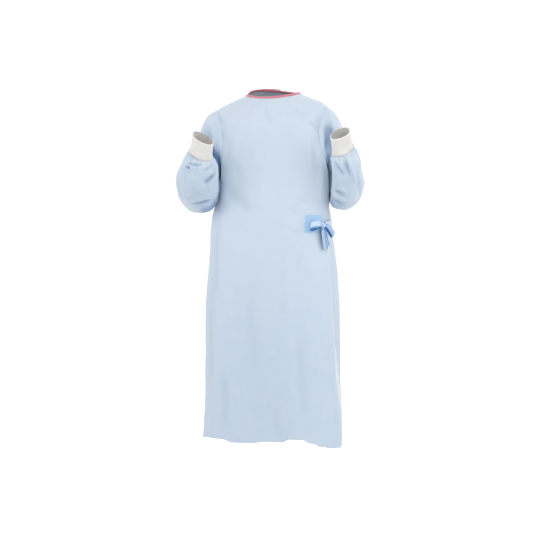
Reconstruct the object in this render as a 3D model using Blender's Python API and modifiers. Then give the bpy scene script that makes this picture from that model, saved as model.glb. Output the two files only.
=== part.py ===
"""Disposable surgical gown in its worn shape, forearms folded up and forward.

Metres. +Z is up, the front of the gown faces -Y, and the wearer's left is +X.
The origin lies between the shoulders at the height of the side of the neck.
Angles round the body run 0 at the front, +90 at the wearer's left side,
180 at the back and -90 at the wearer's right side.
"""
import math
from collections import namedtuple

import bmesh
import bpy

# ------------------------------------------------------------------ cloth
WALL = 0.0015            # wall of the non-woven panels and sleeves
KNIT_WALL = 0.0022       # wall of the ribbed cuffs
TAPE_WALL = 0.0010       # wall of the folded neck tape
TIE_WALL = 0.0012        # wall of the belt ties and the bow
SEAM_GAP = 0.0005        # pieces stop this far apart where they are sewn
LAID_GAP = 0.0008        # a piece laid on a panel floats this far above it
PATCH_GAP = 0.0011       # the patch, which crosses the panel's facets

# ------------------------------------------------------------------ colours
Look = namedtuple("Look", "red green blue roughness")
NONWOVEN = Look(0.62, 0.72, 0.84, 0.85)
KNIT = Look(0.80, 0.79, 0.77, 0.95)
PINK_TAPE = Look(0.84, 0.25, 0.30, 0.85)
BLUE_TIE = Look(0.37, 0.58, 0.84, 0.80)
HOOK_TAPE = Look(0.80, 0.82, 0.84, 0.90)

# ------------------------------------------------------------------ body
# One row per level: the four points where the ring meets the side, front and
# back lines. Rows 0 to 4 climb down the shoulder, 4 to 9 frame the armholes.
BodyRing = namedtuple(
    "BodyRing",
    "right_x right_z left_x left_z front_y front_z back_y back_z squareness")
BODY = [
    BodyRing(-0.083, -0.0090, 0.101, -0.0020, -0.080, -0.024, 0.062, 0.012, 2.0),
    BodyRing(-0.094, -0.0170, 0.115, -0.0106, -0.094, -0.044, 0.078, -0.004, 2.1),
    BodyRing(-0.119, -0.0275, 0.144, -0.0214, -0.110, -0.070, 0.096, -0.028, 2.2),
    BodyRing(-0.152, -0.0445, 0.172, -0.0340, -0.125, -0.098, 0.112, -0.055, 2.3),
    BodyRing(-0.185, -0.0630, 0.192, -0.0480, -0.138, -0.126, 0.124, -0.085, 2.4),
    BodyRing(-0.186, -0.1040, 0.188, -0.0900, -0.146, -0.158, 0.132, -0.125, 2.5),
    BodyRing(-0.184, -0.1500, 0.187, -0.1450, -0.151, -0.193, 0.138, -0.168, 2.5),
    BodyRing(-0.181, -0.2000, 0.190, -0.1980, -0.154, -0.226, 0.142, -0.208, 2.5),
    BodyRing(-0.180, -0.2400, 0.196, -0.2380, -0.156, -0.256, 0.144, -0.244, 2.5),
    BodyRing(-0.181, -0.2720, 0.201, -0.2660, -0.157, -0.282, 0.146, -0.274, 2.5),
    BodyRing(-0.181, -0.3200, 0.207, -0.3200, -0.158, -0.325, 0.147, -0.322, 2.5),
    BodyRing(-0.187, -0.3800, 0.209, -0.3800, -0.159, -0.382, 0.148, -0.380, 2.5),
    BodyRing(-0.203, -0.4400, 0.2095, -0.4400, -0.160, -0.440, 0.148, -0.440, 2.5),
    BodyRing(-0.209, -0.4850, 0.208, -0.4850, -0.161, -0.485, 0.148, -0.485, 2.5),
    BodyRing(-0.216, -0.5500, 0.2085, -0.5500, -0.163, -0.550, 0.150, -0.550, 2.5),
    BodyRing(-0.221, -0.6500, 0.2145, -0.6500, -0.166, -0.650, 0.154, -0.650, 2.5),
    BodyRing(-0.227, -0.7700, 0.2205, -0.7700, -0.168, -0.770, 0.158, -0.770, 2.5),
    BodyRing(-0.227, -0.9000, 0.227, -0.9000, -0.170, -0.900, 0.162, -0.900, 2.5),
    BodyRing(-0.229, -1.0200, 0.2325, -1.0200, -0.172, -1.020, 0.166, -1.020, 2.5),
    BodyRing(-0.232, -1.0900, 0.2405, -1.0900, -0.173, -1.090, 0.169, -1.090, 2.5),
    BodyRing(-0.2375, -1.1600, 0.2475, -1.1600, -0.175, -1.160, 0.172, -1.160, 2.5),
    BodyRing(-0.244, -1.2430, 0.2475, -1.2430, -0.177, -1.243, 0.176, -1.243, 2.5),
]
TIP_ROW = 4
UNDERARM_ROW = 9
WAIST_ROW = 13
HEM_RISE_ROW = 18
HEM_ROW = len(BODY) - 1
LEVEL_POWER = 1.5        # how late the shoulder slope turns down to the chest
NECK_SKEW = 0.003        # the neck edge dips to the wearer's right

# Hem height above its ring, by angle round the body.
HEM_RISE = {
    -180: 0.004, -150: -0.004, -120: 0.004, -90: 0.001, -64: 0.010, -41: 0.008,
    -30: -0.003, -12: -0.003, -2: 0.002, 5: 0.000, 10: 0.010, 19: 0.008,
    30: -0.007, 41: -0.020, 56: -0.028, 90: -0.027, 110: -0.020, 130: -0.008,
    155: -0.001, 180: 0.004,
}

# Lengthwise folds: they fade in from top_z and reach their depth at full_z.
Fold = namedtuple("Fold", "angle_top angle_hem top_z full_z half_width depth")
FOLDS = [
    Fold(-9, 13, -0.48, -1.20, 13, 0.009),
    Fold(-34, -26, -0.56, -1.20, 12, -0.006),
    Fold(-60, -56, -0.60, -1.20, 10, 0.007),
    Fold(40, 43, -0.64, -1.20, 12, -0.006),
    Fold(66, 68, -0.45, -0.62, 7, 0.011),
    Fold(79, 79, -0.46, -0.66, 6, -0.005),
    Fold(69, 70, -1.02, -1.18, 9, 0.006),
    Fold(-118, -114, -0.55, -1.20, 11, 0.012),
    Fold(-140, -139, -0.60, -1.20, 10, -0.010),
    Fold(-164, -166, -0.52, -1.20, 12, 0.014),
    Fold(170, 167, -0.60, -1.20, 10, -0.011),
    Fold(146, 144, -0.55, -1.20, 12, 0.013),
    Fold(124, 122, -0.70, -1.20, 9, -0.008),
]

# ------------------------------------------------------------------ wrap
SIDE_SEAM = 90.0
ARMHOLE_FRONT = 22.0     # the armhole cuts this far into the front panel
ARMHOLE_BACK = 34.0      # and this far into the back panels
LAP_NECK = 0.006         # the outer back panel stands off the inner one
LAP_BODY = 0.0055
LAP_HEM = 0.008
# Where the outer panel's free edge runs, the inner panel's edge, and how far
# the outer panel stands off at the wearer's left side, by row of BODY.
WrapRow = namedtuple("WrapRow", "row outer_edge inner_edge side_stand_off")
WRAP = [
    WrapRow(0, 165, 196, 0.006),
    WrapRow(4, 160, 199, 0.004),
    WrapRow(7, 152, 203, 0.004),
    WrapRow(9, 140, 206, 0.004),
    WrapRow(10, 126, 208, 0.004),
    WrapRow(11, 106, 210, 0.004),
    WrapRow(12, 86, 213, 0.004),
    WrapRow(13, 76, 216, 0.005),
    WrapRow(14, 77, 218, 0.020),
    WrapRow(15, 78, 221, 0.025),
    WrapRow(16, 79, 223, 0.028),
    WrapRow(17, 80, 225, 0.023),
    WrapRow(18, 80, 226, 0.021),
    WrapRow(19, 79, 227, 0.016),
    WrapRow(20, 79, 228, 0.012),
    WrapRow(21, 79, 229, 0.010),
]
SIDE_BULGE_ANGLE = 96.0  # the outer panel bulges most here
SIDE_BULGE_END = 150.0   # and lies flat again from here to the back
EDGE_TUCK = 3.0          # degrees over which the free edge tucks in
LAP_START = 2.0          # degrees past the side seam where the lap begins
LAP_FULL = 42.0          # and where it is full
NAPE_ROW = 2.5           # the neck's lap has turned into the body's by here

# ------------------------------------------------------------------ sleeves
# Each ring of a sleeve by its four lines: the outside and the body side as
# seen from the front, the elbow-crook side and the far side as seen from the
# side. x is measured outward from the middle of the body. The far line hangs
# in towards the body by hang, and corner makes the tube squarer there.
ArmRing = namedtuple(
    "ArmRing", "out_x out_z in_x in_z crook_y crook_z far_y far_z hang corner",
    defaults=(0.0, 0.0))
LEFT_SLEEVE = [
    ArmRing(0.206, -0.054, 0.209, -0.262, -0.066, -0.150, 0.088, -0.150, 0.0, 0.0),
    ArmRing(0.234, -0.080, 0.2085, -0.266, -0.072, -0.165, 0.086, -0.160, 0.0, 0.0),
    ArmRing(0.257, -0.126, 0.2085, -0.271, -0.074, -0.195, 0.083, -0.190, 0.0, 0.0),
    ArmRing(0.275, -0.182, 0.209, -0.279, -0.073, -0.228, 0.080, -0.228, 0.002, 0.02),
    ArmRing(0.289, -0.236, 0.210, -0.290, -0.071, -0.256, 0.078, -0.266, 0.006, 0.06),
    ArmRing(0.303, -0.282, 0.2118, -0.304, -0.070, -0.276, 0.076, -0.312, 0.010, 0.10),
    ArmRing(0.314, -0.318, 0.2132, -0.320, -0.0715, -0.284, 0.060, -0.362, 0.014, 0.14),
    ArmRing(0.3235, -0.338, 0.2142, -0.332, -0.074, -0.288, 0.018, -0.404, 0.018, 0.18),
    ArmRing(0.329, -0.350, 0.214, -0.338, -0.078, -0.288, -0.040, -0.424, 0.022, 0.18),
    ArmRing(0.3298, -0.348, 0.216, -0.339, -0.084, -0.284, -0.096, -0.422, 0.024, 0.18),
    ArmRing(0.327, -0.334, 0.2165, -0.330, -0.093, -0.274, -0.140, -0.400, 0.022, 0.16),
    ArmRing(0.322, -0.314, 0.215, -0.316, -0.105, -0.260, -0.170, -0.364, 0.016, 0.12),
    ArmRing(0.317, -0.292, 0.2125, -0.297, -0.120, -0.245, -0.190, -0.327, 0.010, 0.06),
    ArmRing(0.313, -0.264, 0.2105, -0.275, -0.135, -0.226, -0.201, -0.290, 0.005, 0.02),
    ArmRing(0.302, -0.233, 0.2108, -0.253, -0.146, -0.210, -0.205, -0.260, 0.001, 0.0),
    ArmRing(0.2873, -0.2108, 0.2146, -0.2343, -0.1505, -0.2025, -0.1985, -0.2425, 0.0, 0.0),
]
RIGHT_SLEEVE = [
    ArmRing(0.199, -0.067, 0.1920, -0.268, -0.066, -0.158, 0.088, -0.155, 0.0, 0.0),
    ArmRing(0.226, -0.090, 0.191, -0.272, -0.072, -0.172, 0.086, -0.165, 0.0, 0.0),
    ArmRing(0.250, -0.138, 0.1912, -0.277, -0.074, -0.200, 0.083, -0.195, 0.0, 0.0),
    ArmRing(0.269, -0.190, 0.1912, -0.285, -0.073, -0.232, 0.080, -0.232, 0.0, 0.02),
    ArmRing(0.284, -0.242, 0.1908, -0.295, -0.071, -0.260, 0.078, -0.270, 0.001, 0.06),
    ArmRing(0.301, -0.284, 0.1898, -0.308, -0.070, -0.282, 0.076, -0.318, 0.002, 0.10),
    ArmRing(0.315, -0.318, 0.1885, -0.323, -0.0715, -0.292, 0.060, -0.370, 0.003, 0.14),
    ArmRing(0.325, -0.336, 0.187, -0.335, -0.074, -0.297, 0.018, -0.414, 0.004, 0.18),
    ArmRing(0.334, -0.346, 0.184, -0.342, -0.078, -0.298, -0.040, -0.434, 0.004, 0.18),
    ArmRing(0.3355, -0.342, 0.1802, -0.342, -0.084, -0.294, -0.096, -0.433, 0.004, 0.18),
    ArmRing(0.334, -0.330, 0.179, -0.334, -0.093, -0.284, -0.140, -0.411, 0.004, 0.16),
    ArmRing(0.3295, -0.312, 0.178, -0.316, -0.105, -0.270, -0.170, -0.375, 0.003, 0.12),
    ArmRing(0.320, -0.292, 0.179, -0.298, -0.120, -0.256, -0.190, -0.339, 0.002, 0.06),
    ArmRing(0.311, -0.270, 0.1845, -0.280, -0.135, -0.240, -0.201, -0.303, 0.001, 0.02),
    ArmRing(0.298, -0.246, 0.1968, -0.264, -0.146, -0.225, -0.205, -0.274, 0.0, 0.0),
    ArmRing(0.2838, -0.2248, 0.2066, -0.2503, -0.1505, -0.2175, -0.1985, -0.2575, 0.0, 0.0),
]
LEFT_CUFF = [
    ArmRing(0.2873, -0.2100, 0.2146, -0.2335, -0.1510, -0.2017, -0.1990, -0.2417),
    ArmRing(0.2795, -0.1910, 0.2128, -0.2140, -0.1690, -0.1850, -0.2140, -0.2215),
    ArmRing(0.2752, -0.1730, 0.2092, -0.1950, -0.1850, -0.1660, -0.2300, -0.2025),
    ArmRing(0.2732, -0.1555, 0.2059, -0.1763, -0.1990, -0.1470, -0.2450, -0.1850),
]
RIGHT_CUFF = [
    ArmRing(0.2838, -0.2240, 0.2066, -0.2495, -0.1510, -0.2167, -0.1990, -0.2567),
    ArmRing(0.2775, -0.2060, 0.2058, -0.2325, -0.1690, -0.2000, -0.2140, -0.2370),
    ArmRing(0.2742, -0.1870, 0.2030, -0.2150, -0.1850, -0.1820, -0.2300, -0.2190),
    ArmRing(0.2722, -0.1672, 0.2004, -0.1974, -0.1990, -0.1640, -0.2450, -0.2015),
]
ARM_POINTS = 16          # points round a sleeve; the armhole has as many
ARM_SQUARENESS = 0.88    # 1 is an ellipse, less is squarer

# ------------------------------------------------------------------ grids
SHOULDER_ROWS = 4
LOWER_ROWS = (10.0, 11.0, 12.0, 13.0, 14.0, 15.5, 17.0, 19.0, 21.0)
ARMHOLE_ROWS = ARM_POINTS // 2
FRONT_COLUMNS = 24
INNER_COLUMNS = 13
OUTER_COLUMNS = 22
# Each body panel is one cloth from neck to hem and each sleeve one cloth from
# armhole to cuff. They are built in lengths, so that every solid is a simple
# shell. A cut is the place in the list of rows where one length ends.
PANEL_CUTS = {"shoulder": 8, "chest": 13, "waist": 17, "skirt": 21}
SLEEVE_CUTS = {"upper": 6, "elbow": 11, "forearm": 16}

# ------------------------------------------------------------------ trims
TAPE_DEPTH = 0.009       # how far the neck tape comes down over the panel
TAB_ANGLE_START = 170.0
TAB_ANGLE_END = 198.0
TAB_TOP_ROW = 0.75
TAB_BOTTOM_ROW = 1.60
PATCH_ANGLE_START = 29.5
PATCH_ANGLE_END = 55.5
PATCH_TOP_Z = -0.446
PATCH_BOTTOM_Z = -0.512
BELT_WIDTH = 0.026
BELT_Z = -0.476
BELT_OVERLAP = 8.0       # degrees of belt lying on the outer panel
BELT_STEPS = 12
BELT_CLEAR = 0.0004      # extra lift along the long belt, more where it
BELT_CLEAR_PANEL = 0.0006    # climbs the outer panel's edge
BELT_CLIMB = (12.0, 1.0)     # between these angles before that edge
BELT_RISE = 0.0052       # and where it comes up to the knot,
BELT_RISE_SPAN = (4.0, 16.0) # between these angles before the knot
BELT_KNOT_WIDTH = 0.55   # share of its width left at the knot
BELT_NARROWS = 0.75      # it starts to narrow this far along
FRONT_BELT_ANGLE = 44.0  # the short belt is sewn to the patch here
FRONT_BELT_STEPS = 5
FRONT_BELT_RISE = 0.0035
FRONT_BELT_RISES = 0.4   # the short belt starts to rise this far along
FRONT_BELT_KNOT_WIDTH = 0.4
FRONT_BELT_NARROWS = 0.3
BELT_KNOT_GAP = (3.25, 3.15)  # degrees each belt stops short of the knot
KNOT_ANGLE = 53.5
KNOT_Z = -0.483
KNOT_STAND_OFF = 0.0112
KNOT_HALF = (9.5, 7.5, 8.5)  # mm along the belt, outward and up
KNOT_SOFTNESS = 0.75     # 1 is an egg, less is a fuller cushion
KNOT_SIDES = 10
KNOT_RINGS = 6


# ================================================================== forms
def clear_scene():
    """Start from an empty scene."""
    for obj in list(bpy.data.objects):
        bpy.data.objects.remove(obj, do_unlink=True)
    for group in list(bpy.data.collections):
        bpy.data.collections.remove(group)


def smooth(value, low, high):
    """Ease from 0 at low to 1 at high."""
    t = min(max((value - low) / (high - low), 0.0), 1.0)
    return t * t * (3.0 - 2.0 * t)


def along(rows, position):
    """A smooth curve through a table of rows, at a fractional row."""
    last = len(rows) - 1
    position = min(max(position, 0.0), float(last))
    i = min(int(position), last - 1)
    t = position - i
    before = rows[max(i - 1, 0)]
    start = rows[i]
    end = rows[i + 1]
    after = rows[min(i + 2, last)]
    found = []
    for a, b, c, d in zip(before, start, end, after):
        slope_b = (c - a) / 2.0
        slope_c = (d - b) / 2.0
        h = t * t * (3.0 - 2.0 * t)
        found.append(b + (c - b) * h + slope_b * t * (1.0 - t) ** 2 - slope_c * t * t * (1.0 - t))
    return type(start)(*found)


def by_angle(table, angle):
    """A smooth value from a table keyed by angles from -180 to 180."""
    angle = (angle + 180.0) % 360.0 - 180.0
    keys = sorted(table)
    for low, high in zip(keys, keys[1:]):
        if angle <= high:
            return table[low] + (table[high] - table[low]) * smooth(angle, low, high)
    return table[keys[-1]]


def signed_power(value, power):
    return math.copysign(abs(value) ** power, value)


def fold_height(angle, z):
    """How far the lengthwise folds push the cloth outward."""
    total = 0.0
    hem_z = BODY[HEM_ROW].front_z
    for fold in FOLDS:
        if z > fold.top_z:
            continue
        share = (fold.top_z - z) / (fold.top_z - hem_z)
        centre = fold.angle_top + (fold.angle_hem - fold.angle_top) * share
        off = (angle - centre + 180.0) % 360.0 - 180.0
        height = fold.depth * smooth(-z, -fold.top_z, -fold.full_z)
        total += height * math.exp(-(off / fold.half_width) ** 2)
    return total


def plain_body(angle, row):
    """A point of the body without its folds."""
    ring = along(BODY, row)
    a = math.radians(angle)
    power = 2.0 / ring.squareness
    middle = (ring.right_x + ring.left_x) / 2.0
    half = (ring.left_x - ring.right_x) / 2.0
    x = middle + half * signed_power(math.sin(a), power)
    facing = math.cos(a)
    reach = ring.front_y if facing >= 0 else ring.back_y
    y = reach * abs(facing) ** power
    side_z = ring.left_z if math.sin(a) >= 0 else ring.right_z
    level_z = ring.front_z if facing >= 0 else ring.back_z
    share = abs(facing) ** LEVEL_POWER
    z = side_z * (1.0 - share) + level_z * share
    near_neck = 1.0 - smooth(row, 0.0, 1.5)
    z += NECK_SKEW * near_neck * math.sin(2.0 * a)
    rise = smooth(row, HEM_RISE_ROW, HEM_ROW)
    z += rise * by_angle(HEM_RISE, angle)
    return (x, y, z)


def subtract(a, b):
    return (a[0] - b[0], a[1] - b[1], a[2] - b[2])


def moved(point, direction, distance):
    return tuple(p + d * distance for p, d in zip(point, direction))


def cross(a, b):
    return (a[1] * b[2] - a[2] * b[1], a[2] * b[0] - a[0] * b[2], a[0] * b[1] - a[1] * b[0])


def unit(v):
    length = math.sqrt(v[0] ** 2 + v[1] ** 2 + v[2] ** 2)
    return (v[0] / length, v[1] / length, v[2] / length)


def body_normal(angle, row):
    """Outward direction of the plain body."""
    step = 0.5
    row_low = max(row - 0.05, 0.0)
    row_high = min(row + 0.05, float(HEM_ROW))
    round_body = subtract(plain_body(angle + step, row), plain_body(angle - step, row))
    down = subtract(plain_body(angle, row_high), plain_body(angle, row_low))
    return unit(cross(down, round_body))


def body_point(angle, row, stand_off=0.0):
    """A point of the body's cloth, with its folds, moved outward by stand_off."""
    base = plain_body(angle, row)
    return moved(base, body_normal(angle, row), fold_height(angle, base[2]) + stand_off)


def wrap_row(row):
    """The wrap's edges at a fractional row of BODY."""
    for low, high in zip(WRAP, WRAP[1:]):
        if row <= high.row:
            t = (row - low.row) / (high.row - low.row)
            return WrapRow(*[a + (b - a) * t for a, b in zip(low, high)])
    return WRAP[-1]


def outer_stand_off(angle, row):
    """How far the outer back panel lies off the body; angle -90 down to -290."""
    edges = wrap_row(row)
    left_angle = 360.0 + angle
    if left_angle < SIDE_BULGE_ANGLE:
        rising = smooth(left_angle, edges.outer_edge - EDGE_TUCK, SIDE_BULGE_ANGLE)
        return LAP_BODY + (edges.side_stand_off - LAP_BODY) * rising
    lap = LAP_NECK + (LAP_BODY - LAP_NECK) * smooth(row, 0.0, NAPE_ROW)
    lap += (LAP_HEM - LAP_BODY) * smooth(row, WAIST_ROW, HEM_ROW)
    from_seam = smooth(-angle, SIDE_SEAM + LAP_START, SIDE_SEAM + LAP_FULL)
    bulge = 1.0 - smooth(left_angle, SIDE_BULGE_ANGLE, SIDE_BULGE_END)
    return lap * from_seam + (edges.side_stand_off - lap) * bulge


# ================================================================== building
def material(name, look):
    made = bpy.data.materials.new(name)
    made.use_nodes = True
    shader = made.node_tree.nodes["Principled BSDF"]
    shader.inputs["Base Color"].default_value = (look.red, look.green, look.blue, 1.0)
    shader.inputs["Roughness"].default_value = look.roughness
    shader.inputs["Metallic"].default_value = 0.0
    made.diffuse_color = (look.red, look.green, look.blue, 1.0)
    return made


def add_object(name, points, faces, look):
    mesh = bpy.data.meshes.new(name)
    mesh.from_pydata(points, [], faces)
    mesh.update()
    mesh.materials.append(look)
    obj = bpy.data.objects.new(name, mesh)
    GOWN.objects.link(obj)
    return obj


def solidify(obj, wall):
    """Give an open surface its wall, half to each side."""
    wall_maker = obj.modifiers.new("wall", "SOLIDIFY")
    wall_maker.thickness = wall
    wall_maker.offset = 0.0
    wall_maker.use_rim = True


def sheet_from_grid(name, grid, wall, look, closed=False):
    """A cloth piece from rows of points; closed joins each row's ends."""
    columns = len(grid[0])
    points = [point for row in grid for point in row]
    faces = []
    for r in range(len(grid) - 1):
        for c in range(columns if closed else columns - 1):
            right = (c + 1) % columns
            faces.append((
                r * columns + c,
                (r + 1) * columns + c,
                (r + 1) * columns + right,
                r * columns + right,
            ))
    obj = add_object(name, points, faces, look)
    solidify(obj, wall)
    return obj


def cloth_in_lengths(name, grid, cuts, closed=False):
    """One cloth as solids that follow each other with a seam's gap between."""
    start = 0
    for length, stop in cuts.items():
        piece = grid[start:stop + 1]
        if start > 0:
            piece[0] = [moved(p, unit(subtract(q, p)), SEAM_GAP / 2.0)
                        for p, q in zip(piece[0], piece[1])]
        if stop < len(grid) - 1:
            piece[-1] = [moved(p, unit(subtract(q, p)), SEAM_GAP / 2.0)
                         for p, q in zip(piece[-1], piece[-2])]
        sheet_from_grid(f"{name}_{length}", piece, WALL, CLOTH, closed)
        start = stop


def armhole_row(turn):
    """The row of BODY at a turn of 0 (shoulder) to 180 (underarm) degrees."""
    share = (1.0 - math.cos(math.radians(turn))) / 2.0
    return TIP_ROW + (UNDERARM_ROW - TIP_ROW) * share


def panel_rows():
    """Rows of every body panel, with how far round the armhole each one is."""
    rows = []
    for i in range(SHOULDER_ROWS):
        rows.append((TIP_ROW * i / SHOULDER_ROWS, 0.0))
    for i in range(ARMHOLE_ROWS + 1):
        turn = 180.0 * i / ARMHOLE_ROWS
        rows.append((armhole_row(turn), math.sin(math.radians(turn))))
    for row in LOWER_ROWS:
        rows.append((row, 0.0))
    return rows


def seam_half_gap(row):
    """Half the seam gap as an angle round the body at this row."""
    ring = along(BODY, row)
    radius = (ring.left_x - ring.right_x) / 2.0
    return math.degrees(SEAM_GAP / 2.0 / radius)


def front_panel():
    grid = []
    for row, cut in panel_rows():
        edge = SIDE_SEAM - ARMHOLE_FRONT * cut - seam_half_gap(row)
        line = []
        for c in range(FRONT_COLUMNS + 1):
            angle = -edge + 2.0 * edge * c / FRONT_COLUMNS
            line.append(body_point(angle, row))
        grid.append(line)
    cloth_in_lengths("front_panel", grid, PANEL_CUTS)


def inner_back_panel():
    grid = []
    for row, cut in panel_rows():
        start = SIDE_SEAM + ARMHOLE_BACK * cut + seam_half_gap(row)
        end = wrap_row(row).inner_edge
        line = []
        for c in range(INNER_COLUMNS + 1):
            angle = start + (end - start) * c / INNER_COLUMNS
            line.append(body_point(angle, row))
        grid.append(line)
    cloth_in_lengths("back_panel_left", grid, PANEL_CUTS)


def outer_back_panel():
    grid = []
    for row, cut in panel_rows():
        start = -(SIDE_SEAM + ARMHOLE_BACK * cut + seam_half_gap(row))
        end = wrap_row(row).outer_edge - 360.0
        line = []
        for c in range(OUTER_COLUMNS + 1):
            angle = start + (end - start) * c / OUTER_COLUMNS
            line.append(body_point(angle, row, outer_stand_off(angle, row)))
        grid.append(line[::-1])
    cloth_in_lengths("back_panel_right", grid, PANEL_CUTS)


def arm_point(ring, turn, side):
    """A point round a sleeve ring; side is +1 for the wearer's left arm."""
    a = math.radians(turn)
    squareness = ARM_SQUARENESS
    if math.cos(a) < 0.0 and math.sin(a) < 0.0:
        squareness -= ring.corner
    round_out = signed_power(math.cos(a), squareness)
    round_crook = signed_power(math.sin(a), squareness)
    middle_x = (ring.out_x + ring.in_x) / 2.0
    middle_y = (ring.crook_y + ring.far_y) / 2.0
    out = (ring.out_x, middle_y, ring.out_z)
    into = (ring.in_x, middle_y, ring.in_z)
    crook = (middle_x, ring.crook_y, ring.crook_z)
    far = (middle_x - ring.hang, ring.far_y, ring.far_z)
    found = []
    for o, i, f, b in zip(out, into, crook, far):
        centre = (o + i + f + b) / 4.0
        across = (o - i) / 2.0
        deep = (f - b) / 2.0
        saddle = (o + i - f - b) / 4.0
        found.append(centre + across * round_out + deep * round_crook
                     + saddle * math.cos(2.0 * a))
    return (side * found[0], found[1], found[2])


def armhole_edge(turn, side):
    """The body's cut edge at a turn round the armhole, shoulder first."""
    a = math.radians(turn)
    row = armhole_row(turn if turn <= 180.0 else 360.0 - turn)
    depth = ARMHOLE_FRONT if math.sin(a) >= 0 else ARMHOLE_BACK
    angle = SIDE_SEAM - depth * math.sin(a)
    stand_off = 0.0
    if side < 0 and angle > SIDE_SEAM:
        stand_off = outer_stand_off(-angle, row)
    return body_point(side * angle, row, stand_off), body_normal(side * angle, row)


def sleeve(name, rings, side):
    """A set-in sleeve from the armhole to the cuff seam."""
    turns = [360.0 * i / ARM_POINTS for i in range(ARM_POINTS)]
    first = []
    for turn in turns:
        edge, outward = armhole_edge(turn, side)
        target = arm_point(rings[0], turn, side)
        leaving = unit(subtract(target, edge))
        upright = abs(sum(a * b for a, b in zip(leaving, outward)))
        first.append(moved(edge, leaving, SEAM_GAP + WALL / 2.0 * upright + WALL / 4.0))
    grid = [first]
    for ring in rings:
        grid.append([arm_point(ring, turn, side) for turn in turns])
    if side > 0:
        grid = [line[::-1] for line in grid]
    cloth_in_lengths(name, grid, SLEEVE_CUTS, closed=True)


def cuff(name, rings, side):
    turns = [360.0 * i / ARM_POINTS for i in range(ARM_POINTS)]
    grid = [[arm_point(ring, turn, side) for turn in turns] for ring in rings]
    if side > 0:
        grid = [line[::-1] for line in grid]
    return sheet_from_grid(name, grid, KNIT_WALL, RIB, closed=True)


def swept(name, sections, look):
    """A closed bar through sections that all have the same corner count."""
    corners = len(sections[0])
    points = [point for section in sections for point in section]
    faces = []
    for s in range(len(sections) - 1):
        for c in range(corners):
            nxt = (c + 1) % corners
            faces.append((
                s * corners + c,
                s * corners + nxt,
                (s + 1) * corners + nxt,
                (s + 1) * corners + c,
            ))
    last = (len(sections) - 1) * corners
    faces.append(tuple(range(corners))[::-1])
    faces.append(tuple(last + c for c in range(corners)))
    return add_object(name, points, faces, look)


def steps_between(start, end, count):
    return [start + (end - start) * i / count for i in range(count + 1)]


def neck_binding():
    """Tape folded over the neck edge, from the inner flap round to the outer."""
    reach = WALL / 2.0 + SEAM_GAP
    outside = reach + TAPE_WALL
    profile = [
        (-outside, 0.0), (-outside, 1.0), (-reach, 1.0), (-reach, 0.0),
        (reach, 0.0), (reach, 1.0), (outside, 1.0), (outside, 0.0),
    ]
    inner_end = wrap_row(0.0).inner_edge
    outer_end = wrap_row(0.0).outer_edge - 360.0
    angles = steps_between(inner_end, SIDE_SEAM, INNER_COLUMNS)
    angles += steps_between(SIDE_SEAM, -SIDE_SEAM, FRONT_COLUMNS)[1:]
    angles += steps_between(-SIDE_SEAM, outer_end, OUTER_COLUMNS)[1:]
    sections = []
    for angle in angles:
        stand_off = outer_stand_off(angle, 0.0) if angle < -SIDE_SEAM else 0.0
        edge = body_point(angle, 0.0, stand_off)
        lower = body_point(angle, 1.0, outer_stand_off(angle, 1.0) if stand_off else 0.0)
        down = unit(subtract(lower, edge))
        out = body_normal(angle, 0.0)
        section = []
        for off, low in profile:
            inner_corner = abs(off) < outside
            if low > 0.5:
                drop = TAPE_DEPTH
            elif inner_corner:
                drop = -SEAM_GAP
            else:
                drop = -SEAM_GAP - TAPE_WALL
            section.append(moved(moved(edge, out, off), down, drop))
        sections.append(section)
    return swept("neck_binding", sections, TAPE)


def neck_tab():
    """Hook-and-loop tab that closes the outer flap at the nape."""
    grid = []
    lift = WALL / 2.0 + LAID_GAP + TIE_WALL / 2.0
    rows = 3
    columns = 6
    for r in range(rows + 1):
        row = TAB_TOP_ROW + (TAB_BOTTOM_ROW - TAB_TOP_ROW) * r / rows
        line = []
        for c in range(columns + 1):
            angle = TAB_ANGLE_START + (TAB_ANGLE_END - TAB_ANGLE_START) * c / columns
            angle -= 360.0
            line.append(body_point(angle, row, outer_stand_off(angle, row) + lift))
        grid.append(line)
    return sheet_from_grid("neck_tab", grid, TIE_WALL, HOOK)


def row_at(z):
    """The fractional row of BODY below the armholes at height z."""
    for i in range(UNDERARM_ROW, HEM_ROW):
        top = BODY[i].front_z
        bottom = BODY[i + 1].front_z
        if z >= bottom:
            return i + (top - z) / (top - bottom)
    return float(HEM_ROW)


def tie_patch():
    """Square of blue cloth sewn on at the wearer's left of the front."""
    grid = []
    lift = WALL / 2.0 + PATCH_GAP + TIE_WALL / 2.0
    rows = 3
    columns = 6
    for r in range(rows + 1):
        z = PATCH_TOP_Z + (PATCH_BOTTOM_Z - PATCH_TOP_Z) * r / rows
        line = []
        for c in range(columns + 1):
            angle = PATCH_ANGLE_START + (PATCH_ANGLE_END - PATCH_ANGLE_START) * c / columns
            line.append(body_point(angle, row_at(z), lift))
        grid.append(line)
    return sheet_from_grid("tie_patch", grid, TIE_WALL, BLUE)


def ribbon(name, middle_line, half_width_vectors, look):
    """A flat tie: a middle line and, at each point, half its width."""
    upper = [moved(p, h, 1.0) for p, h in zip(middle_line, half_width_vectors)]
    lower = [moved(p, h, -1.0) for p, h in zip(middle_line, half_width_vectors)]
    return sheet_from_grid(name, [upper, middle_line, lower], TIE_WALL, look)


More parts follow.
